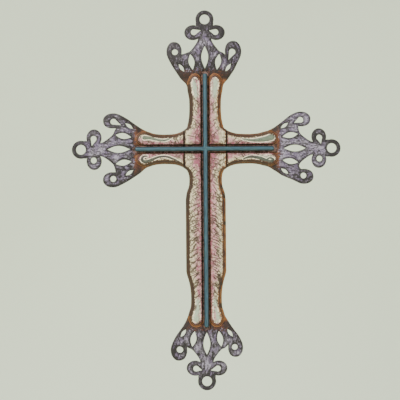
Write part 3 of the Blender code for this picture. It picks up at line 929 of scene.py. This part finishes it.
def flare(survey):
    """1 along the outer edge where a finial springs from its arm, 0 further in and further out."""
    begun = eased((survey.share - FLARE_START) / (FLARE_FULL - FLARE_START))
    lasting = eased((FLARE_END - survey.share) / (FLARE_END - FLARE_FADE))
    return faded(survey.half - np.abs(survey.across), FLARE_WIDTH) * lasting * begun


def side_arm(survey):
    """1 on the two side arms, 0 on the post."""
    return np.full(len(survey.points), float(len(survey.arms) == 1))


def aged(survey):
    """1 in the middle of a worn spot, 0 away from it."""
    strength = np.zeros(len(survey.points))
    for x, z, radius in AGED_SPOTS:
        away = np.linalg.norm(survey.points - np.array((x, z)) * MM, axis=1)
        strength = np.maximum(strength, faded(away, radius * MM, SPOT_CORE))
    return strength


# For each arm, how far back from the end of its panels the pale green reaches, in millimetres
MINT_REACH = {TOP: 32.0, BOTTOM: 38.0, LEFT: 0.0, RIGHT: 30.0}
MINT_FADE = 8.0


def mint(survey):
    """1 in the pale green fields at the panel ends, fading towards the crossing."""
    reach = np.array([MINT_REACH[arm] for arm in survey.arms])[survey.pick]
    return eased((reach - survey.to_end() / MM) / MINT_FADE) * (reach > 0)


# For each arm: (across, along, radius, tone) as shares of the finial, darker below nought
TONE_SPOTS = {
    TOP: ((-0.46, 0.36, 0.24, -0.07), (0.46, 0.36, 0.24, -0.06), (-0.20, 0.65, 0.17, -0.05),
          (0.20, 0.65, 0.17, -0.05), (0.0, 0.86, 0.18, -0.08), (0.0, 0.58, 0.14, -0.01),
          (0.0, 0.02, 0.30, -0.07)),
    BOTTOM: ((0.44, 0.38, 0.22, -0.06), (-0.46, 0.30, 0.24, 0.02), (0.0, 0.88, 0.18, -0.05),
             (0.0, 0.25, 0.30, 0.05), (0.0, 0.02, 0.30, -0.05), (0.0, 0.60, 0.14, 0.03)),
    LEFT: ((0.45, 0.36, 0.24, -0.04), (-0.46, 0.36, 0.24, -0.04), (0.0, 0.86, 0.18, -0.08),
           (0.0, 0.62, 0.12, 0.02), (0.0, 0.30, 0.30, 0.03), (0.0, 0.02, 0.20, -0.03)),
    RIGHT: ((-0.46, 0.36, 0.26, 0.05), (0.45, 0.40, 0.22, -0.03), (-0.20, 0.65, 0.16, -0.07),
            (0.20, 0.65, 0.16, 0.02), (0.0, 0.88, 0.17, -0.09), (0.0, 0.26, 0.34, 0.06)),
}


def tone(survey):
    """How much lighter or darker the dry brush left each part of a finial."""
    total = np.zeros(len(survey.points))
    for n, arm in enumerate(survey.arms):
        for across, along, radius, amount in TONE_SPOTS[arm]:
            away = np.hypot(survey.across / arm.finial - across, survey.share - along)
            total += np.where(survey.pick == n, amount * faded(away, radius), 0)
    return total


# %% The three plates
PLACE_MARKS = {
    "aged": aged, "mint": mint, "seam": seam, "umber_share": umber_share, "heart": heart, "flare": flare,
    "side_arm": side_arm, "tone": tone,
}
PLATES = {"post": (TOP, BOTTOM), "left_arm": (LEFT,), "right_arm": (RIGHT,)}
plates = {}
for node, arms in PLATES.items():
    mesh = sheet_mesh(node + "_sheet", arms, PLACE_MARKS)
    without_loose_points(mesh)
    mesh.shade_smooth()
    mesh.set_sharp_from_angle(angle=math.radians(50))
    plates[node] = add_object(node + "_sheet", mesh)
    print(node, "has", sum(len(p.vertices) - 2 for p in mesh.polygons), "triangles")


# %% [markdown]
# ## Shader maths in plain Python
#
# A Signal wraps a socket that varies over the surface. Sums, products and ramps of signals read like
# ordinary maths, and each adds the node that does it. A Finish is one material with its nodes.

# %% Signals and finishes
class Signal:
    """A number that varies over a surface."""

    def __init__(self, finish, socket):
        self.finish, self.socket = finish, socket

    def maths(self, operation, first, second=0.0):
        node = self.finish.node("ShaderNodeMath", {"operation": operation}, {0: first, 1: second})
        return Signal(self.finish, node.outputs[0])

    def __add__(self, other):
        return self.maths("ADD", self, other)

    def __radd__(self, other):
        return self.maths("ADD", other, self)

    def __sub__(self, other):
        return self.maths("SUBTRACT", self, other)

    def __rsub__(self, other):
        return self.maths("SUBTRACT", other, self)

    def __mul__(self, other):
        return self.maths("MULTIPLY", self, other)

    def __rmul__(self, other):
        return self.maths("MULTIPLY", other, self)

    def __abs__(self):
        return self.maths("ABSOLUTE", self)

    def ramp(self, low, high):
        """0 at low, 1 at high and smooth between. Low may be the greater of the two."""
        values = {"Value": self, "From Min": low, "From Max": high}
        node = self.finish.node("ShaderNodeMapRange", {"interpolation_type": "SMOOTHSTEP"}, values)
        return Signal(self.finish, node.outputs[0])

    def line(self, middle, half, core=0.3):
        """1 where the signal is near the middle value, 0 at half a width from it."""
        return abs(self - middle).ramp(half, core * half)


def paint(red, green, blue):
    """A colour as it is seen, from 0 to 255, as the shader wants it."""
    seen = [value / 255 for value in (red, green, blue)]
    return (*[v / 12.92 if v <= 0.04045 else ((v + 0.055) / 1.055) ** 2.4 for v in seen], 1.0)


class Finish:
    """One material: a Principled shader and the nodes that feed it."""

    def __init__(self, name):
        self.material = bpy.data.materials.new(name)
        self.material.use_nodes = True
        self.tree = self.material.node_tree
        self.shader = self.tree.nodes["Principled BSDF"]

    def node(self, kind, settings=None, values=None):
        made = self.tree.nodes.new(kind)
        for key, value in (settings or {}).items():
            setattr(made, key, value)
        for key, value in (values or {}).items():
            self.feed(made, key, value)
        return made

    def feed(self, node, key, value):
        if isinstance(key, int):
            socket = node.inputs[key]
        else:
            socket = next(s for s in node.inputs if key in (s.identifier, s.name))
        if isinstance(value, Signal):
            self.tree.links.new(value.socket, socket)
        elif isinstance(value, bpy.types.NodeSocket):
            self.tree.links.new(value, socket)
        else:
            socket.default_value = value

    def mark(self, name):
        """One of the distances that the mesh carries."""
        return Signal(self, self.node("ShaderNodeAttribute", {"attribute_name": name}).outputs["Fac"])

    def spot(self, stretch=(1, 1, 1)):
        """The place across and along the arm, stretched."""
        place = self.node("ShaderNodeAttribute", {"attribute_name": "spot"}).outputs["Vector"]
        return self.node("ShaderNodeVectorMath", {"operation": "MULTIPLY"}, {0: place, 1: stretch}).outputs[0]

    def place(self):
        return self.node("ShaderNodeTexCoord").outputs["Object"]

    def height(self):
        """How high a point lies above the hanger."""
        split = self.node("ShaderNodeSeparateXYZ", None, {"Vector": self.place()})
        return Signal(self, split.outputs["Z"])

    def noise(self, vector, scale, detail=2.0, distortion=0.0):
        values = {"Vector": vector, "Scale": scale, "Detail": detail, "Distortion": distortion}
        return Signal(self, self.node("ShaderNodeTexNoise", None, values).outputs[0])

    def mottle(self, scale, detail):
        """Noise that stays on the object: clouds at a low scale, specks at a high one."""
        return self.noise(self.place(), scale, detail)

    def cracks(self, vector, scale):
        """How far a point lies from the nearest crack of a crazed surface."""
        values = {"Vector": vector, "Scale": scale, "Randomness": 1.0}
        node = self.node("ShaderNodeTexVoronoi", {"feature": "DISTANCE_TO_EDGE"}, values)
        return Signal(self, node.outputs["Distance"])

    def mix(self, share, low, high):
        """One colour brushed over another."""
        values = {"Factor_Float": share, "A_Color": low, "B_Color": high}
        node = self.node("ShaderNodeMix", {"data_type": "RGBA"}, values)
        return next(s for s in node.outputs if s.identifier == "Result_Color")

    def coats(self, colour, *coats):
        """Coats brushed on in turn, each as how much of it there is and its colour."""
        for share, coat in coats:
            colour = self.mix(share, colour, coat)
        return colour

    def surface(self, **values):
        for key, value in values.items():
            self.feed(self.shader, key.replace("_", " ").title(), value)

    def bump(self, height, distance, strength=1.0):
        values = {"Height": height, "Distance": distance, "Strength": strength}
        self.feed(self.shader, "Normal", self.node("ShaderNodeBump", None, values).outputs[0])


# %% [markdown]
# ## Paint of the sheet
#
# The maker first blackened the steel, then painted the panels ivory on the outside and pink towards
# the bars, with pale green fields at the ends. The borders are rust brown with an ochre edge, a dark
# band with two ochre lines runs round the ends of the panels, and the finials have lavender dragged
# over the black with a dry brush. Last came a dark wash, which stayed in every cut and crack.

# %% Colours of the sheet
IVORY = paint(214, 199, 164)
BONE = paint(172, 158, 126)
PINK = paint(197, 141, 148)
DEEP_PINK = paint(138, 56, 82)
MINT = paint(168, 184, 158)
SAGE = paint(56, 60, 54)
PALE_SAGE = paint(96, 108, 90)
OCHRE = paint(154, 98, 46)
RUST = paint(92, 46, 26)
UMBER = paint(50, 32, 18)
SOOT = paint(32, 22, 17)
# Brown of the painted shade in the trench beside the bars
TRENCH_SHADE_BROWN = paint(128, 98, 88)
CHARCOAL = paint(34, 28, 30)
LAVENDER = paint(103, 88, 115)
ASH = paint(82, 76, 82)
PALE_ASH = paint(160, 152, 166)
CREAM_LINE = paint(246, 232, 202)


def panel_paint(finish):
    """Pink by the bar, ivory outside, pale green at the ends, crazed and washed dark in its cuts."""
    cloud = finish.mottle(110, 4)
    speck = finish.mottle(560, 5)
    blot = finish.mottle(240, 4)
    broken = speck.ramp(0.36, 0.50)
    inset = finish.mark("panel")
    wavy_inset = inset + 4.0 * (blot - 0.5)
    athwart = finish.mark("athwart") + 1.1 * (cloud - 0.5) + 0.7 * (blot - 0.5)
    blush = (blot + 0.09 * finish.mark("heart")).ramp(0.49, 0.59) * athwart.ramp(0.70, 0.26)
    field = finish.mark("mint") * wavy_inset.ramp(2.4, 3.4) * athwart.ramp(0.16, 0.42)
    outlined = finish.mark("mint") * wavy_inset.line(2.0, 1.1)
    clear = 1 - 0.8 * field
    crazing = finish.cracks(finish.spot((1, 0.6, 1)), 300).ramp(0.17, 0.05)
    cuts = finish.mark("stroke").ramp(0.85, 0.30)
    beside_bars = finish.mark("bars").ramp(5.5, 4.0)
    soiled = inset + 8.0 * (blot - 0.5) - 1.4 * finish.mark("heart") + 0.9 * beside_bars
    comma = finish.mark("comma") - 0.45
    above_bars = (finish.height() + HANGER_RISE).ramp(-2 * MM, 2 * MM)
    return finish.coats(
        PINK,
        (athwart.ramp(0.34, 0.68), IVORY),
        (speck.ramp(0.44, 0.60) * 0.75, BONE),
        (blush * 0.8, DEEP_PINK),
        (field * 0.9, MINT),
        (outlined * 0.85, CREAM_LINE),
        (crazing * cloud.ramp(0.38, 0.58) * clear * 0.8, UMBER),
        (cuts * speck.ramp(0.30, 0.45) * clear * 0.9, UMBER),
        (soiled.ramp(2.2, 0.0) * speck.ramp(0.38, 0.52) * 0.75, UMBER),
        (comma.line(1.4, 0.6) * broken * 0.5, UMBER),
        (comma.line(0.60, 0.70) * broken, CREAM_LINE),
        (comma.ramp(0.20, -0.15) * 0.92, finish.mix(above_bars * speck.ramp(0.30, 0.46), SAGE, PALE_SAGE)),
    )


def border_paint(finish):
    """Rust brown with an ochre outer line, a dark line by the panel and umber patches."""
    edge, panel = finish.mark("edge"), finish.mark("panel")
    cloud = finish.mottle(120, 4)
    speck = finish.mottle(640, 4)
    patchy = (cloud * 0.5 + speck * 0.5 + finish.mark("umber_share")).ramp(0.76, 1.04)
    inner = (panel + 1.4 * (speck - 0.5)).line(-0.9, 1.9)
    return finish.coats(
        RUST,
        (cloud.ramp(0.38, 0.60), OCHRE),
        (edge.ramp(1.5, 0.6) * 0.6, OCHRE),
        (patchy * 0.9, UMBER),
        (inner * 0.8, UMBER),
        (edge.ramp(0.5, 0.0) * 0.7, UMBER),
    )


def band_paint(finish, border):
    """Dark rust round the panel ends with a double ochre line, and a rust stripe on the side arms."""
    speck = finish.mottle(520, 4)
    wobble = finish.mark("band_gap") + 1.2 * (finish.mottle(230, 3) - 0.5)
    share, side_arm = finish.mark("share"), finish.mark("side_arm")
    stripe = (share + 0.10 * (speck - 0.5)).line(-0.012, 0.038) * side_arm
    line_strengths = [strength * (1 - 0.40 * side_arm) for strength in (0.60, 0.95)]
    lines = [(wobble.line(middle, 0.60) * speck.ramp(0.34, 0.46) * strength, OCHRE)
             for middle, strength in zip(BAND_LINES, line_strengths)]
    return finish.coats(
        border,
        (share.ramp(-0.14, -0.07), finish.mix(speck.ramp(0.34, 0.50) * 0.9, RUST, SOOT)),
        (stripe * 0.6, RUST),
        (stripe * speck.ramp(0.50, 0.60) * 0.3, OCHRE),
        (finish.mark("flare") * speck.ramp(0.74, 0.54) * 0.9, SOOT),
        *lines,
    )


def finial_paint(finish):
    """Lavender and ash dragged over black along the arm, with a painted highlight a little way in from the
    cut edges, and dark cut edges widened into painted shade.
    """
    streak = finish.noise(finish.spot((1, 0.35, 1)), 430, 6, 0.8)
    fleck = finish.mottle(620, 3)
    patch = finish.mottle(75, 3)
    tint = finish.mottle(130, 3)
    edge = finish.mark("edge")
    # The edge term is a painted highlight: more of the pale coats a little way in from each cut edge, over
    # the crown of the straps
    cover = 0.62 * streak + 0.38 * fleck + 0.40 * (patch - 0.5) + 0.05 * edge.ramp(1.0, 3.2)
    cover = cover + finish.mark("tone") - 0.050
    lavender = (cover + 0.6 * (tint - 0.5)).ramp(0.48, 0.56)
    drawn = (edge + 0.9 * (streak - 0.5)).line(2.4, 0.7) * patch.ramp(0.42, 0.56)
    # Dark cut edges, widened inwards as painted shade where the rounded edge turns away
    rim = (edge + 2.4 * (streak - 0.5)).ramp(2.5, 0.6)
    return finish.coats(
        CHARCOAL,
        (cover.ramp(0.43, 0.50), ASH),
        (lavender * 0.75, LAVENDER),
        (cover.ramp(0.54, 0.61) * 0.7, PALE_ASH),
        (drawn * 0.7, CHARCOAL),
        (rim * 0.85, CHARCOAL),
        (finish.mark("flare") * fleck.ramp(0.62, 0.46) * 0.9, SOOT),
    )


def sheet_finish():
    """The front of the sheet: borders and bands, finials, panels, then wear, painted shade over a dark wash
    in the trench, and the seams.
    """
    finish = Finish("painted_sheet_front")
    bars, side_arm = finish.mark("bars"), finish.mark("side_arm")
    ragged = finish.mottle(480, 3) - 0.5
    past_band = (finish.mark("band_gap") + 6.0 * ragged + 1.6 * side_arm).ramp(4.4, 5.8)
    root = finish.mark("share") + 0.25 * ragged + 0.035 * side_arm
    panel = finish.mark("panel") + 6.0 * ragged + bars.ramp(5.0, 3.5)
    worn = (finish.mark("aged") + 1.6 * ragged).ramp(0.34, 0.54)
    # Painted shade over a dark wash: umber and brown laid in the trench beside the bars, where shade falls
    trench = (bars + 7.0 * ragged).ramp(2.4, 0.4)
    colour = finish.coats(
        band_paint(finish, border_paint(finish)),
        (past_band * root.ramp(0.012, 0.060), finial_paint(finish)),
        (panel.ramp(0.4, 1.3), panel_paint(finish)),
        (worn * 0.92, UMBER),
        (trench * 0.85, finish.mix(finish.mottle(300, 4).ramp(0.38, 0.60), UMBER, TRENCH_SHADE_BROWN)),
        ((finish.mark("seam") + 0.4 * ragged).ramp(1.15, 0.55) * 0.9, UMBER),
    )
    grain = finish.mottle(1500, 4)
    finish.surface(base_color=colour, metallic=0.12, roughness=0.54 + 0.3 * grain)
    finish.bump(grain, 0.12 * MM, 0.8)
    return finish.material


def back_finish():
    """Blackened steel with a little rust, never painted."""
    finish = Finish("blackened_back")
    cloud = finish.mottle(60, 5)
    speck = finish.mottle(900, 4)
    colour = finish.coats(CHARCOAL, (cloud.ramp(0.40, 0.66), UMBER), (speck.ramp(0.56, 0.68) * 0.6, RUST))
    finish.surface(base_color=colour, metallic=0.55, roughness=0.5 + 0.35 * speck)
    finish.bump(speck, 0.1 * MM, 0.7)
    return finish.material


front_material, back_material = sheet_finish(), back_finish()
for plate in plates.values():
    plate.data.materials.append(front_material)
    plate.data.materials.append(back_material)
print("sheet paint has", len(front_material.node_tree.nodes), "nodes")


# %% [markdown]
# ## The round bars
#
# A bar lies in the trench from finial to finial, and two short ones butt against it. Their inner ends
# are coped: hollowed so that they fit round the upright. Each ring of the bar is a circle that the
# hammer has touched a little, and the outer end is rounded.

# %% Rods
ROD_RADIUS = 3.12 * MM
ROD_SIDES = 40
ROD_NOSE = 2.2 * MM
ROD_STEP = 1.1 * MM
ROD_DENT = 0.05 * MM
DENT_ROUND = 0.8
DENT_LENGTH = 6 * MM
DENT_SHIFT = 7
ROD_SHARP = math.radians(40)
NOSE_RINGS = 6
NOSE_LAST_TURN = 84
NOSE_FLAT = 0.3
NOSE_POWER = 0.6


def nose(end):
    """The (distance, radius) stations of a hammered round end."""
    turns = [math.pi / 2 * n / NOSE_RINGS for n in range(NOSE_RINGS)] + [math.radians(NOSE_LAST_TURN)]
    return [(end - ROD_NOSE * (1 - math.sin(a)), ROD_RADIUS * max(math.cos(a), NOSE_FLAT) ** NOSE_POWER)
            for a in turns]


def rod_rows(start, end, coped):
    """Stations from start to a nose at the end. Without a cope there is a nose at the start too."""
    length = end - ROD_NOSE - start
    rings = round(length / ROD_STEP)
    even = [(start + length * n / rings, ROD_RADIUS) for n in range(rings)]
    if coped:
        return even + nose(end)
    return [(-distance, radius) for distance, radius in nose(-start)[::-1]] + even[2:] + nose(end)


def saddle(reach, turn):
    """How far from the crossing the end of a side rod has to stay, to clear the upright."""
    return math.sqrt((ROD_RADIUS + CLEARANCE) ** 2 - (reach * math.cos(turn)) ** 2)


def rod_corner(direction, distance, radius, turn, coped):
    """A corner of a rod: how far out and how far along it lies, and its place."""
    depth_way = Vector((0, -1, 0))
    out = math.cos(turn) * depth_way + math.sin(turn) * direction.cross(depth_way)
    spot = (out * DENT_ROUND + direction * distance / DENT_LENGTH) + direction * DENT_SHIFT
    reach = min(ROD_RADIUS, radius + min(0.0, ROD_DENT * noise.noise(spot)))
    along = max(distance, saddle(reach, turn)) if coped else distance
    return reach, along, out * reach + direction * along


def rod_mesh(name, direction, start, end, coped):
    """A rod in the trench, along a direction from the crossing outwards."""
    work = bmesh.new()
    spot = work.verts.layers.float_vector.new("spot")
    turned = work.verts.layers.float.new("turned")
    rows = []
    for distance, radius in rod_rows(start, end, coped):
        row = []
        for n in range(ROD_SIDES):
            turn = 2 * math.pi * (n / ROD_SIDES - 0.5)
            reach, along, place = rod_corner(direction, distance, radius, turn, coped)
            corner = work.verts.new(place)
            corner[spot] = (reach * turn, along, 0)
            corner[turned] = abs(turn)
            row.append(corner)
        rows.append(row)
    for low, high in zip(rows, rows[1:]):
        for n in range(ROD_SIDES):
            work.faces.new((low[n - 1], low[n], high[n], high[n - 1]))
    work.faces.new(rows[0][::-1])
    work.faces.new(rows[-1])
    bmesh.ops.recalc_face_normals(work, faces=work.faces)
    bmesh.ops.translate(work, vec=(0, -BAR_DEPTH, -HANGER_RISE), verts=work.verts)
    mesh = bpy.data.meshes.new(name)
    work.to_mesh(mesh)
    work.free()
    mesh.shade_smooth()
    mesh.set_sharp_from_angle(angle=ROD_SHARP)
    return add_object(name, mesh)


COPE_START = saddle(ROD_RADIUS, 0)
rods = {
    "upright_bar": rod_mesh("upright_rod", Vector((0, 0, 1)), -BOTTOM.bar_end, TOP.bar_end, False),
    "left_bar": rod_mesh("left_rod", Vector((-1, 0, 0)), COPE_START, LEFT.bar_end, True),
    "right_bar": rod_mesh("right_rod", Vector((1, 0, 0)), COPE_START, RIGHT.bar_end, True),
}
print("rods:", {name: len(rod.data.vertices) for name, rod in rods.items()})

# %% Teal paint of the rods
TEAL = paint(34, 63, 75)
# Dark teal: the black ground under thin teal, and the painted shade down the sides of a bar
DARK_TEAL = paint(22, 34, 36)
# Sky teal: lighter brush streaks, and the painted highlight along the front of a bar
SKY_TEAL = paint(66, 105, 122)
GREEN_TEAL = paint(52, 80, 66)


def rod_finish():
    """Teal brushed along the bar over black, with painted shade down its sides and a painted highlight along
    its front.
    """
    finish = Finish("teal_bar")
    streak = finish.noise(finish.spot((1, 0.10, 1)), 900, 5)
    patch = finish.mottle(45, 3)
    turned = finish.mark("turned")
    colour = finish.coats(
        DARK_TEAL,
        (streak.ramp(0.34, 0.60), TEAL),
        ((streak + 0.4 * (patch - 0.5)).ramp(0.54, 0.70) * 0.7, SKY_TEAL),
        (patch.ramp(0.52, 0.66) * 0.45, GREEN_TEAL),
        # Painted shade: darker where the bar turns away from the front
        ((turned + 0.8 * (streak - 0.5)).ramp(0.75, 1.35) * 0.8, DARK_TEAL),
        # Painted highlight: a light line just beside the front crest of the bar
        ((turned + 0.5 * (streak - 0.5)).line(0.25, 0.35) * 0.4, SKY_TEAL),
    )
    grain = finish.mottle(1300, 3)
    finish.surface(base_color=colour, metallic=0.15, roughness=0.34 + 0.25 * grain)
    finish.bump(streak, 0.10 * MM, 0.7)
    return finish.material


teal = rod_finish()
for rod in rods.values():
    rod.data.materials.append(teal)

# %% [markdown]
# ## Weld ripples
#
# The side bars are welded to the upright, the plates to each other behind, and the hanger plate to
# the turned-back edges. A weld is a row of overlapping ripples along a path, so Geometry Nodes lays
# them: the path is resampled at the pitch of the ripples and a flattened bead is set at each point.


# %% The node tree of a weld
BEAD_SEGMENTS = 12
BEAD_RINGS = 8
LEAST_SWELL = (0.85, 0.60, 0.85)
MOST_SWELL = (1.15, 0.80, 1.10)


def weld_tree():
    """Ripples along a path, with their radius, pitch, seed and paint as inputs."""
    tree = bpy.data.node_groups.new("weld_ripples", "GeometryNodeTree")
    tree.interface.new_socket("Geometry", in_out="INPUT", socket_type="NodeSocketGeometry")
    sockets = {}
    inputs = (("Ripple Radius", "Float"), ("Pitch", "Float"), ("Seed", "Int"), ("Paint", "Material"))
    for name, kind in inputs:
        made = tree.interface.new_socket(name, in_out="INPUT", socket_type="NodeSocket" + kind)
        sockets[name] = made.identifier
    tree.interface.new_socket("Geometry", in_out="OUTPUT", socket_type="NodeSocketGeometry")
    start, end, spread, bead, smooth, swell, lay, real, coat = (tree.nodes.new(kind) for kind in (
        "NodeGroupInput", "NodeGroupOutput", "GeometryNodeResampleCurve", "GeometryNodeMeshUVSphere",
        "GeometryNodeSetShadeSmooth", "FunctionNodeRandomValue", "GeometryNodeInstanceOnPoints",
        "GeometryNodeRealizeInstances", "GeometryNodeSetMaterial",
    ))
    spread.mode = "LENGTH"
    bead.inputs["Segments"].default_value = BEAD_SEGMENTS
    bead.inputs["Rings"].default_value = BEAD_RINGS
    swell.data_type = "FLOAT_VECTOR"
    swell.inputs["Min"].default_value = LEAST_SWELL
    swell.inputs["Max"].default_value = MOST_SWELL
    for giver, given, taker, taken in (
        (start, "Geometry", spread, "Curve"), (start, "Pitch", spread, "Length"),
        (start, "Ripple Radius", bead, "Radius"), (bead, "Mesh", smooth, "Geometry"),
        (start, "Seed", swell, "Seed"), (spread, "Curve", lay, "Points"),
        (smooth, "Geometry", lay, "Instance"), (swell, "Value", lay, "Scale"),
        (lay, "Instances", real, "Geometry"), (real, "Geometry", coat, "Geometry"),
        (start, "Paint", coat, "Material"), (coat, "Geometry", end, "Geometry"),
    ):
        tree.links.new(giver.outputs[given], taker.inputs[taken])
    return tree, sockets


WELD_TREE, WELD_SOCKETS = weld_tree()


def weld(name, paths, radius, pitch, seed, material):
    """Ripples along some paths, as one plain mesh object."""
    curve = bpy.data.curves.new(name + "_path", "CURVE")
    curve.dimensions = "3D"
    for path in paths:
        spline = curve.splines.new("POLY")
        spline.points.add(len(path) - 1)
        for point, place in zip(spline.points, path):
            point.co = (*place, 1)
    guide = add_object(name + "_path", curve)
    ripples = guide.modifiers.new("Ripples", "NODES")
    ripples.node_group = WELD_TREE
    for key, value in (("Ripple Radius", radius), ("Pitch", pitch), ("Seed", seed), ("Paint", material)):
        ripples[WELD_SOCKETS[key]] = value
    ready = guide.evaluated_get(bpy.context.evaluated_depsgraph_get())
    mesh = bpy.data.meshes.new_from_object(ready)
    mesh.name = name
    bpy.data.objects.remove(guide, do_unlink=True)
    print(name, "has", len(mesh.polygons), "faces")
    return add_object(name, mesh)


# %% Where the welds run
SADDLE_TURNS = [math.radians(9 * n) for n in range(-8, 9)]
SADDLE_SINK = 0.86
TACK_RISES = (-0.5 * HANGER_DOWN, 0.4 * HANGER_UP, 0.85 * HANGER_UP)
TACK_HALF = 3
TACK_INSET = 0.2 * MM
TACK_DEPTH = 2.3 * MM
SEAM_WELD_DEPTH = 1.1 * MM
SEAM_WELD_POINTS = 12


def saddle_path(side):
    """The front of the joint where a side bar meets the upright."""
    path = []
    for turn in SADDLE_TURNS:
        depth = BAR_DEPTH + SADDLE_SINK * ROD_RADIUS * math.cos(turn)
        path.append((side * saddle(ROD_RADIUS, turn), -depth, ROD_RADIUS * math.sin(turn) - HANGER_RISE))
    return path


bar_welds = weld(
    "bar_welds", [saddle_path(-1), saddle_path(1)],
    radius=0.62 * MM, pitch=0.8 * MM, seed=3, material=teal,
)


def hanger_paths():
    """Short tacks down both sides of the hanger plate, on the turned-back edges."""
    paths = []
    for sign in (-1, 1):
        for rise in TACK_RISES:
            path = []
            for n in range(-TACK_HALF, TACK_HALF + 1):
                along = HANGER_RISE + rise + n * MM
                wide = float(half_width(TOP, along, sign)) - SHEET - TACK_INSET
                path.append((sign * wide, -TACK_DEPTH, along - HANGER_RISE))
            paths.append(path)
    return paths


def seam_paths():
    """Runs behind the seams between the post and the side arms."""
    heights = np.linspace(-CORNER_HEIGHT + MM, CORNER_HEIGHT - MM, SEAM_WELD_POINTS)
    across = SEAM - CLEARANCE / 2
    return [[(side * across, -SEAM_WELD_DEPTH, z - HANGER_RISE) for z in heights] for side in (-1, 1)]


back_welds = weld(
    "back_welds", hanger_paths() + seam_paths(),
    radius=0.9 * MM, pitch=1.1 * MM, seed=5, material=back_material,
)

# %% [markdown]
# ## The hanger plate
#
# The plate with the keyhole never shows once the cross hangs, so it is bare blackened steel. Its solid
# is right as it is and keeps its place, with a finish of its own.


# %% Finish of the hanger plate
DARK_STEEL = paint(70, 66, 64)
PALE_STEEL = paint(104, 98, 92)


def hanger_finish():
    """Rolled steel, bare and a little rusty."""
    finish = Finish("hanger_steel")
    roll = finish.mottle(300, 4)
    speck = finish.mottle(1100, 3)
    rusty = speck.ramp(0.58, 0.70) * 0.6
    colour = finish.coats(DARK_STEEL, (roll.ramp(0.36, 0.64), PALE_STEEL), (rusty, RUST))
    finish.surface(base_color=colour, metallic=0.8, roughness=0.42 + 0.3 * roll)
    finish.bump(speck, 0.06 * MM, 0.6)
    return finish.material


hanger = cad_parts["hanger_plate"]
hanger.data.materials.clear()
hanger.data.materials.append(hanger_finish())

# %% [markdown]
# ## Each piece stands for its solid
#
# Every piece rides on the one rigid body of the cross.

# %% Pieces and their solids
for node, piece in {**plates, **rods}.items():
    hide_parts(node)
    "painted_bar" if node in rods else "painted_sheet"
    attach(piece, "root")
for piece, slot in ((bar_welds, "painted_bar"), (back_welds, "bare_steel")):
    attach(piece, "root")

# %% [markdown]
# ## Stage, light and camera
#
# A plain pale sweep stands well behind the cross. The key light is a wide soft one high on the left,
# and the camera looks straight at the cross from its own height. The cross hangs a little out of true
# in the picture, so the camera is rolled by the same small angle.

# %% The sweep
BACKDROP = paint(240, 249, 224)
SWEEP_DISTANCE = 2.7
SWEEP_RADIUS = 0.9
FLOOR_DROP = 1.25
SWEEP_HALF = 6.0
SWEEP_STEPS = 16


def sweep():
    """A floor that bends up into a backdrop."""
    profile = [(-SWEEP_HALF, -FLOOR_DROP)]
    for n in range(SWEEP_STEPS + 1):
        turn = math.pi / 2 * n / SWEEP_STEPS
        behind = SWEEP_DISTANCE - SWEEP_RADIUS * (1 - math.sin(turn))
        profile.append((behind, SWEEP_RADIUS * (1 - math.cos(turn)) - FLOOR_DROP))
    profile.append((SWEEP_DISTANCE, SWEEP_HALF))
    corners = [(side * SWEEP_HALF, y, z) for y, z in profile for side in (-1, 1)]
    faces = [(2 * n, 2 * n + 1, 2 * n + 3, 2 * n + 2) for n in range(len(profile) - 1)]
    mesh = bpy.data.meshes.new("sweep")
    mesh.from_pydata(corners, [], faces)
    mesh.shade_smooth()
    finish = Finish("backdrop_paper")
    finish.surface(base_color=BACKDROP, roughness=0.9)
    mesh.materials.append(finish.material)
    return add_object("sweep", mesh)


sweep()

# %% Lights
CENTRE = Vector((0, -BAR_DEPTH, -0.115))
# Each light is (name, place, size in metres, power in watts, colour)
LIGHTS = (
    ("key_light", (-1.5, -1.9, 1.6), 1.1, 125, (1.0, 0.98, 0.95)),
    ("fill_light", (1.9, -1.7, -0.1), 1.6, 24, (1.0, 1.0, 1.0)),
    ("back_light", (-0.9, 1.7, 1.1), 1.4, 30, (1.0, 1.0, 1.0)),
)
ROOM_LIGHT = paint(228, 230, 226)
ROOM_STRENGTH = 0.85


def soft_light(name, place, size, power, colour):
    """A round area light that faces the middle of the cross."""
    lamp = bpy.data.lights.new(name, "AREA")
    lamp.shape = "DISK"
    lamp.size = size
    lamp.energy = power
    lamp.color = colour
    made = add_object(name, lamp)
    made.location = place
    made.rotation_euler = (CENTRE - Vector(place)).to_track_quat("-Z", "Y").to_euler()


for light in LIGHTS:
    soft_light(*light)
world = bpy.context.scene.world or bpy.data.worlds.new("studio")
bpy.context.scene.world = world
world.use_nodes = True
background = world.node_tree.nodes["Background"]
background.inputs["Color"].default_value = ROOM_LIGHT
background.inputs["Strength"].default_value = ROOM_STRENGTH

# %% Camera
LENS = 85.0
SENSOR = 36.0
FIELD = 0.5249
AIM = Vector((-0.0076, -0.0120, -0.1152))
LEAN = math.radians(0.42)
distance = FIELD * LENS / SENSOR
view = bpy.data.cameras.new("camera")
view.lens = LENS
view.sensor_width = SENSOR
view.sensor_fit = "HORIZONTAL"
camera = add_object("camera", view)
straight_on = Matrix.Rotation(math.pi / 2, 4, "X") @ Matrix.Rotation(-LEAN, 4, "Z")
camera.matrix_world = Matrix.Translation(AIM - Vector((0, distance, 0))) @ straight_on
bpy.context.scene.camera = camera
print("camera stands", round(distance, 3), "m in front")
